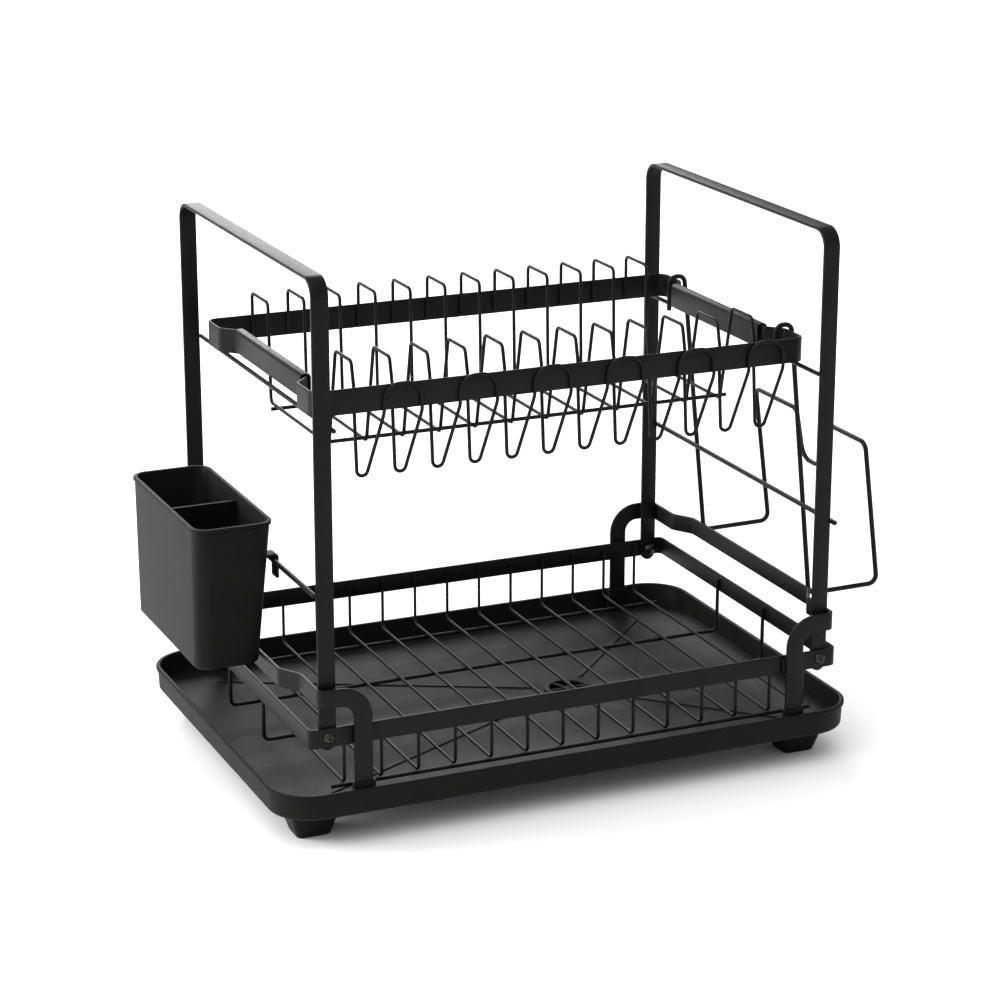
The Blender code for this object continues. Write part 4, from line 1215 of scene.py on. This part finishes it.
class RACK_OT_board_holder(bpy.types.Operator):
    """Make the bent wire that holds a cutting board."""

    bl_idname = "dish_rack.board_holder"
    bl_label = "Board holder"

    def execute(self, context):
        diameter = settings().wires.holder
        hook_x = place("support_wire_right")[0].x - diameter / 2 - HOLDER_PLAY
        hook_top = RACK_HIGH.z + HOLDER_SEAT
        side_bar = place("leg_frame_right")[1].x - settings().bars.leg / 2 - SIDE_BAR_STEP
        shoulder, foot, outer, top, valley = ((side_bar + out, z) for out, z in HOLDER_CORNERS)
        y = HOLDER_Y
        half = [
            (hook_x, y, HOLDER_HOOK_END),
            (hook_x, y, hook_top),
            (shoulder[0] - HOLDER_SHOULDER_STEP, y, hook_top),
            (shoulder[0], y, shoulder[1]),
            (foot[0], y, foot[1]),
            (outer[0], y, outer[1]),
            (top[0], y, top[1]),
            (top[0], HOLDER_VALLEY_Y[0], top[1]),
            (valley[0], HOLDER_VALLEY_Y[1], valley[1]),
        ]
        corners = [(a, -b, c) for a, b, c in half] + [(a, b, c) for a, b, c in reversed(half)]
        routes = [(corners, HOLDER_BENDS + HOLDER_BENDS[::-1])]
        holder = make_wires("board_wire", routes, diameter, powder_coat(), sides=18, bend_steps=12)
        settle(holder, "board_holder", "steel", "board_holder")
        return {"FINISHED"}


# --- Stage -------------------------------------------------------------------

LOOK_AT = Vector((CENTRE.x, CENTRE.y + 0.0144, 0.19865))
AZIMUTH, ELEVATION, DISTANCE = math.radians(-23.64), math.radians(17.38), 2.3229
LENS, SENSOR, SHIFT = 103.536, 36, (0.0053, -0.0039)
CEILING_SPREAD = math.radians(70)
CEILING_TURN = (math.radians(12), math.radians(-28), 0)
BACK_SOFTBOX = (Vector((0.5, 2.2, 0.95)), 1.3)  # (place from the rack's middle, size)
SIDE_SOFTBOX = (Vector((-1.9, 0.7, 0.6)), 1.0)


class RACK_OT_stage(bpy.types.Operator):
    """Make the pale floor, the soft lights and the camera."""

    bl_idname = "dish_rack.stage"
    bl_label = "Stage"

    def execute(self, context):
        chosen = settings().stage
        scene = context.scene
        mesh = bpy.data.meshes.new("floor")
        bm = bmesh.new()
        bmesh.ops.create_grid(bm, x_segments=1, y_segments=1, size=6)
        bm.to_mesh(mesh)
        bm.free()
        floor = link_object("floor", mesh)
        pale = bpy.data.materials.new("pale_paper")
        pale.use_nodes = True
        shader = pale.node_tree.nodes["Principled BSDF"]
        shader.inputs["Base Color"].default_value = linear(settings().finishes.floor)
        shader.inputs["Roughness"].default_value = 0.9
        mesh.materials.append(pale)

        room = bpy.data.worlds.new("white_room")
        room.use_nodes = True
        background = room.node_tree.nodes["Background"]
        background.inputs["Color"].default_value = (1, 1, 1, 1)
        background.inputs["Strength"].default_value = chosen.room
        scene.world = room

        # A wide even light keeps the floor white, and the softboxes shine along the tops of
        # the bars and on the faces that look left, as on a black piece in a white studio.
        ceiling = bpy.data.lights.new("ceiling", "SUN")
        ceiling.energy = chosen.sun
        ceiling.angle = CEILING_SPREAD
        link_object("ceiling", ceiling).rotation_euler = CEILING_TURN
        self.softbox("back_softbox", *BACK_SOFTBOX, chosen.back)
        self.softbox("side_softbox", *SIDE_SOFTBOX, chosen.side)

        camera = link_object("camera", bpy.data.cameras.new("camera"))
        camera.location = LOOK_AT + DISTANCE * Vector(
            (
                math.sin(AZIMUTH) * math.cos(ELEVATION),
                -math.cos(AZIMUTH) * math.cos(ELEVATION),
                math.sin(ELEVATION),
            )
        )
        camera.rotation_euler = (LOOK_AT - camera.location).to_track_quat("-Z", "Y").to_euler()
        camera.data.lens = LENS
        camera.data.sensor_width = SENSOR
        camera.data.shift_x, camera.data.shift_y = SHIFT
        scene.camera = camera
        scene.view_settings.view_transform = "Standard"
        return {"FINISHED"}

    def softbox(self, name, offset, size, power):
        lamp = bpy.data.lights.new(name, "AREA")
        lamp.energy = power
        lamp.size = size
        lamp_object = link_object(name, lamp)
        lamp_object.location = LOOK_AT + offset
        lamp_object.rotation_euler = (-offset).to_track_quat("-Z", "Y").to_euler()
        lamp_object.visible_camera = False


class RACK_PT_panel(bpy.types.Panel):
    """Lists the pieces of the rack."""

    bl_idname = "RACK_PT_panel"
    bl_label = "Dish rack"
    bl_space_type = "VIEW_3D"
    bl_region_type = "UI"
    bl_category = "Dish rack"

    def draw(self, context):
        for group in ("tray", "wires", "bars", "caddy", "finishes", "stage"):
            box = self.layout.box()
            values = getattr(context.scene.dish_rack, group)
            for name in values.__annotations__:
                box.prop(values, name)
        for operator in OPERATORS:
            self.layout.operator(operator.bl_idname)


OPERATORS = (
    RACK_OT_drip_tray,
    RACK_OT_drain,
    RACK_OT_basket_band,
    RACK_OT_basket_wires,
    RACK_OT_leg_frames,
    RACK_OT_leg_caps,
    RACK_OT_hoops,
    RACK_OT_screws,
    RACK_OT_rack_band,
    RACK_OT_dividers,
    RACK_OT_caddy,
    RACK_OT_board_holder,
    RACK_OT_stage,
)
GROUPS = (TraySizes, WireSizes, BarSizes, CaddySizes, Finishes, StageSettings, RackSettings)


def register():
    for group in GROUPS + OPERATORS + (RACK_PT_panel,):
        bpy.utils.register_class(group)
    bpy.types.Scene.dish_rack = bpy.props.PointerProperty(type=RackSettings)


def unregister():
    del bpy.types.Scene.dish_rack
    for group in reversed(GROUPS + OPERATORS + (RACK_PT_panel,)):
        bpy.utils.unregister_class(group)


def main():
    register()
    for operator in OPERATORS:
        section, name = operator.bl_idname.split(".")
        getattr(getattr(bpy.ops, section), name)()


if __name__ == "__main__":
    main()
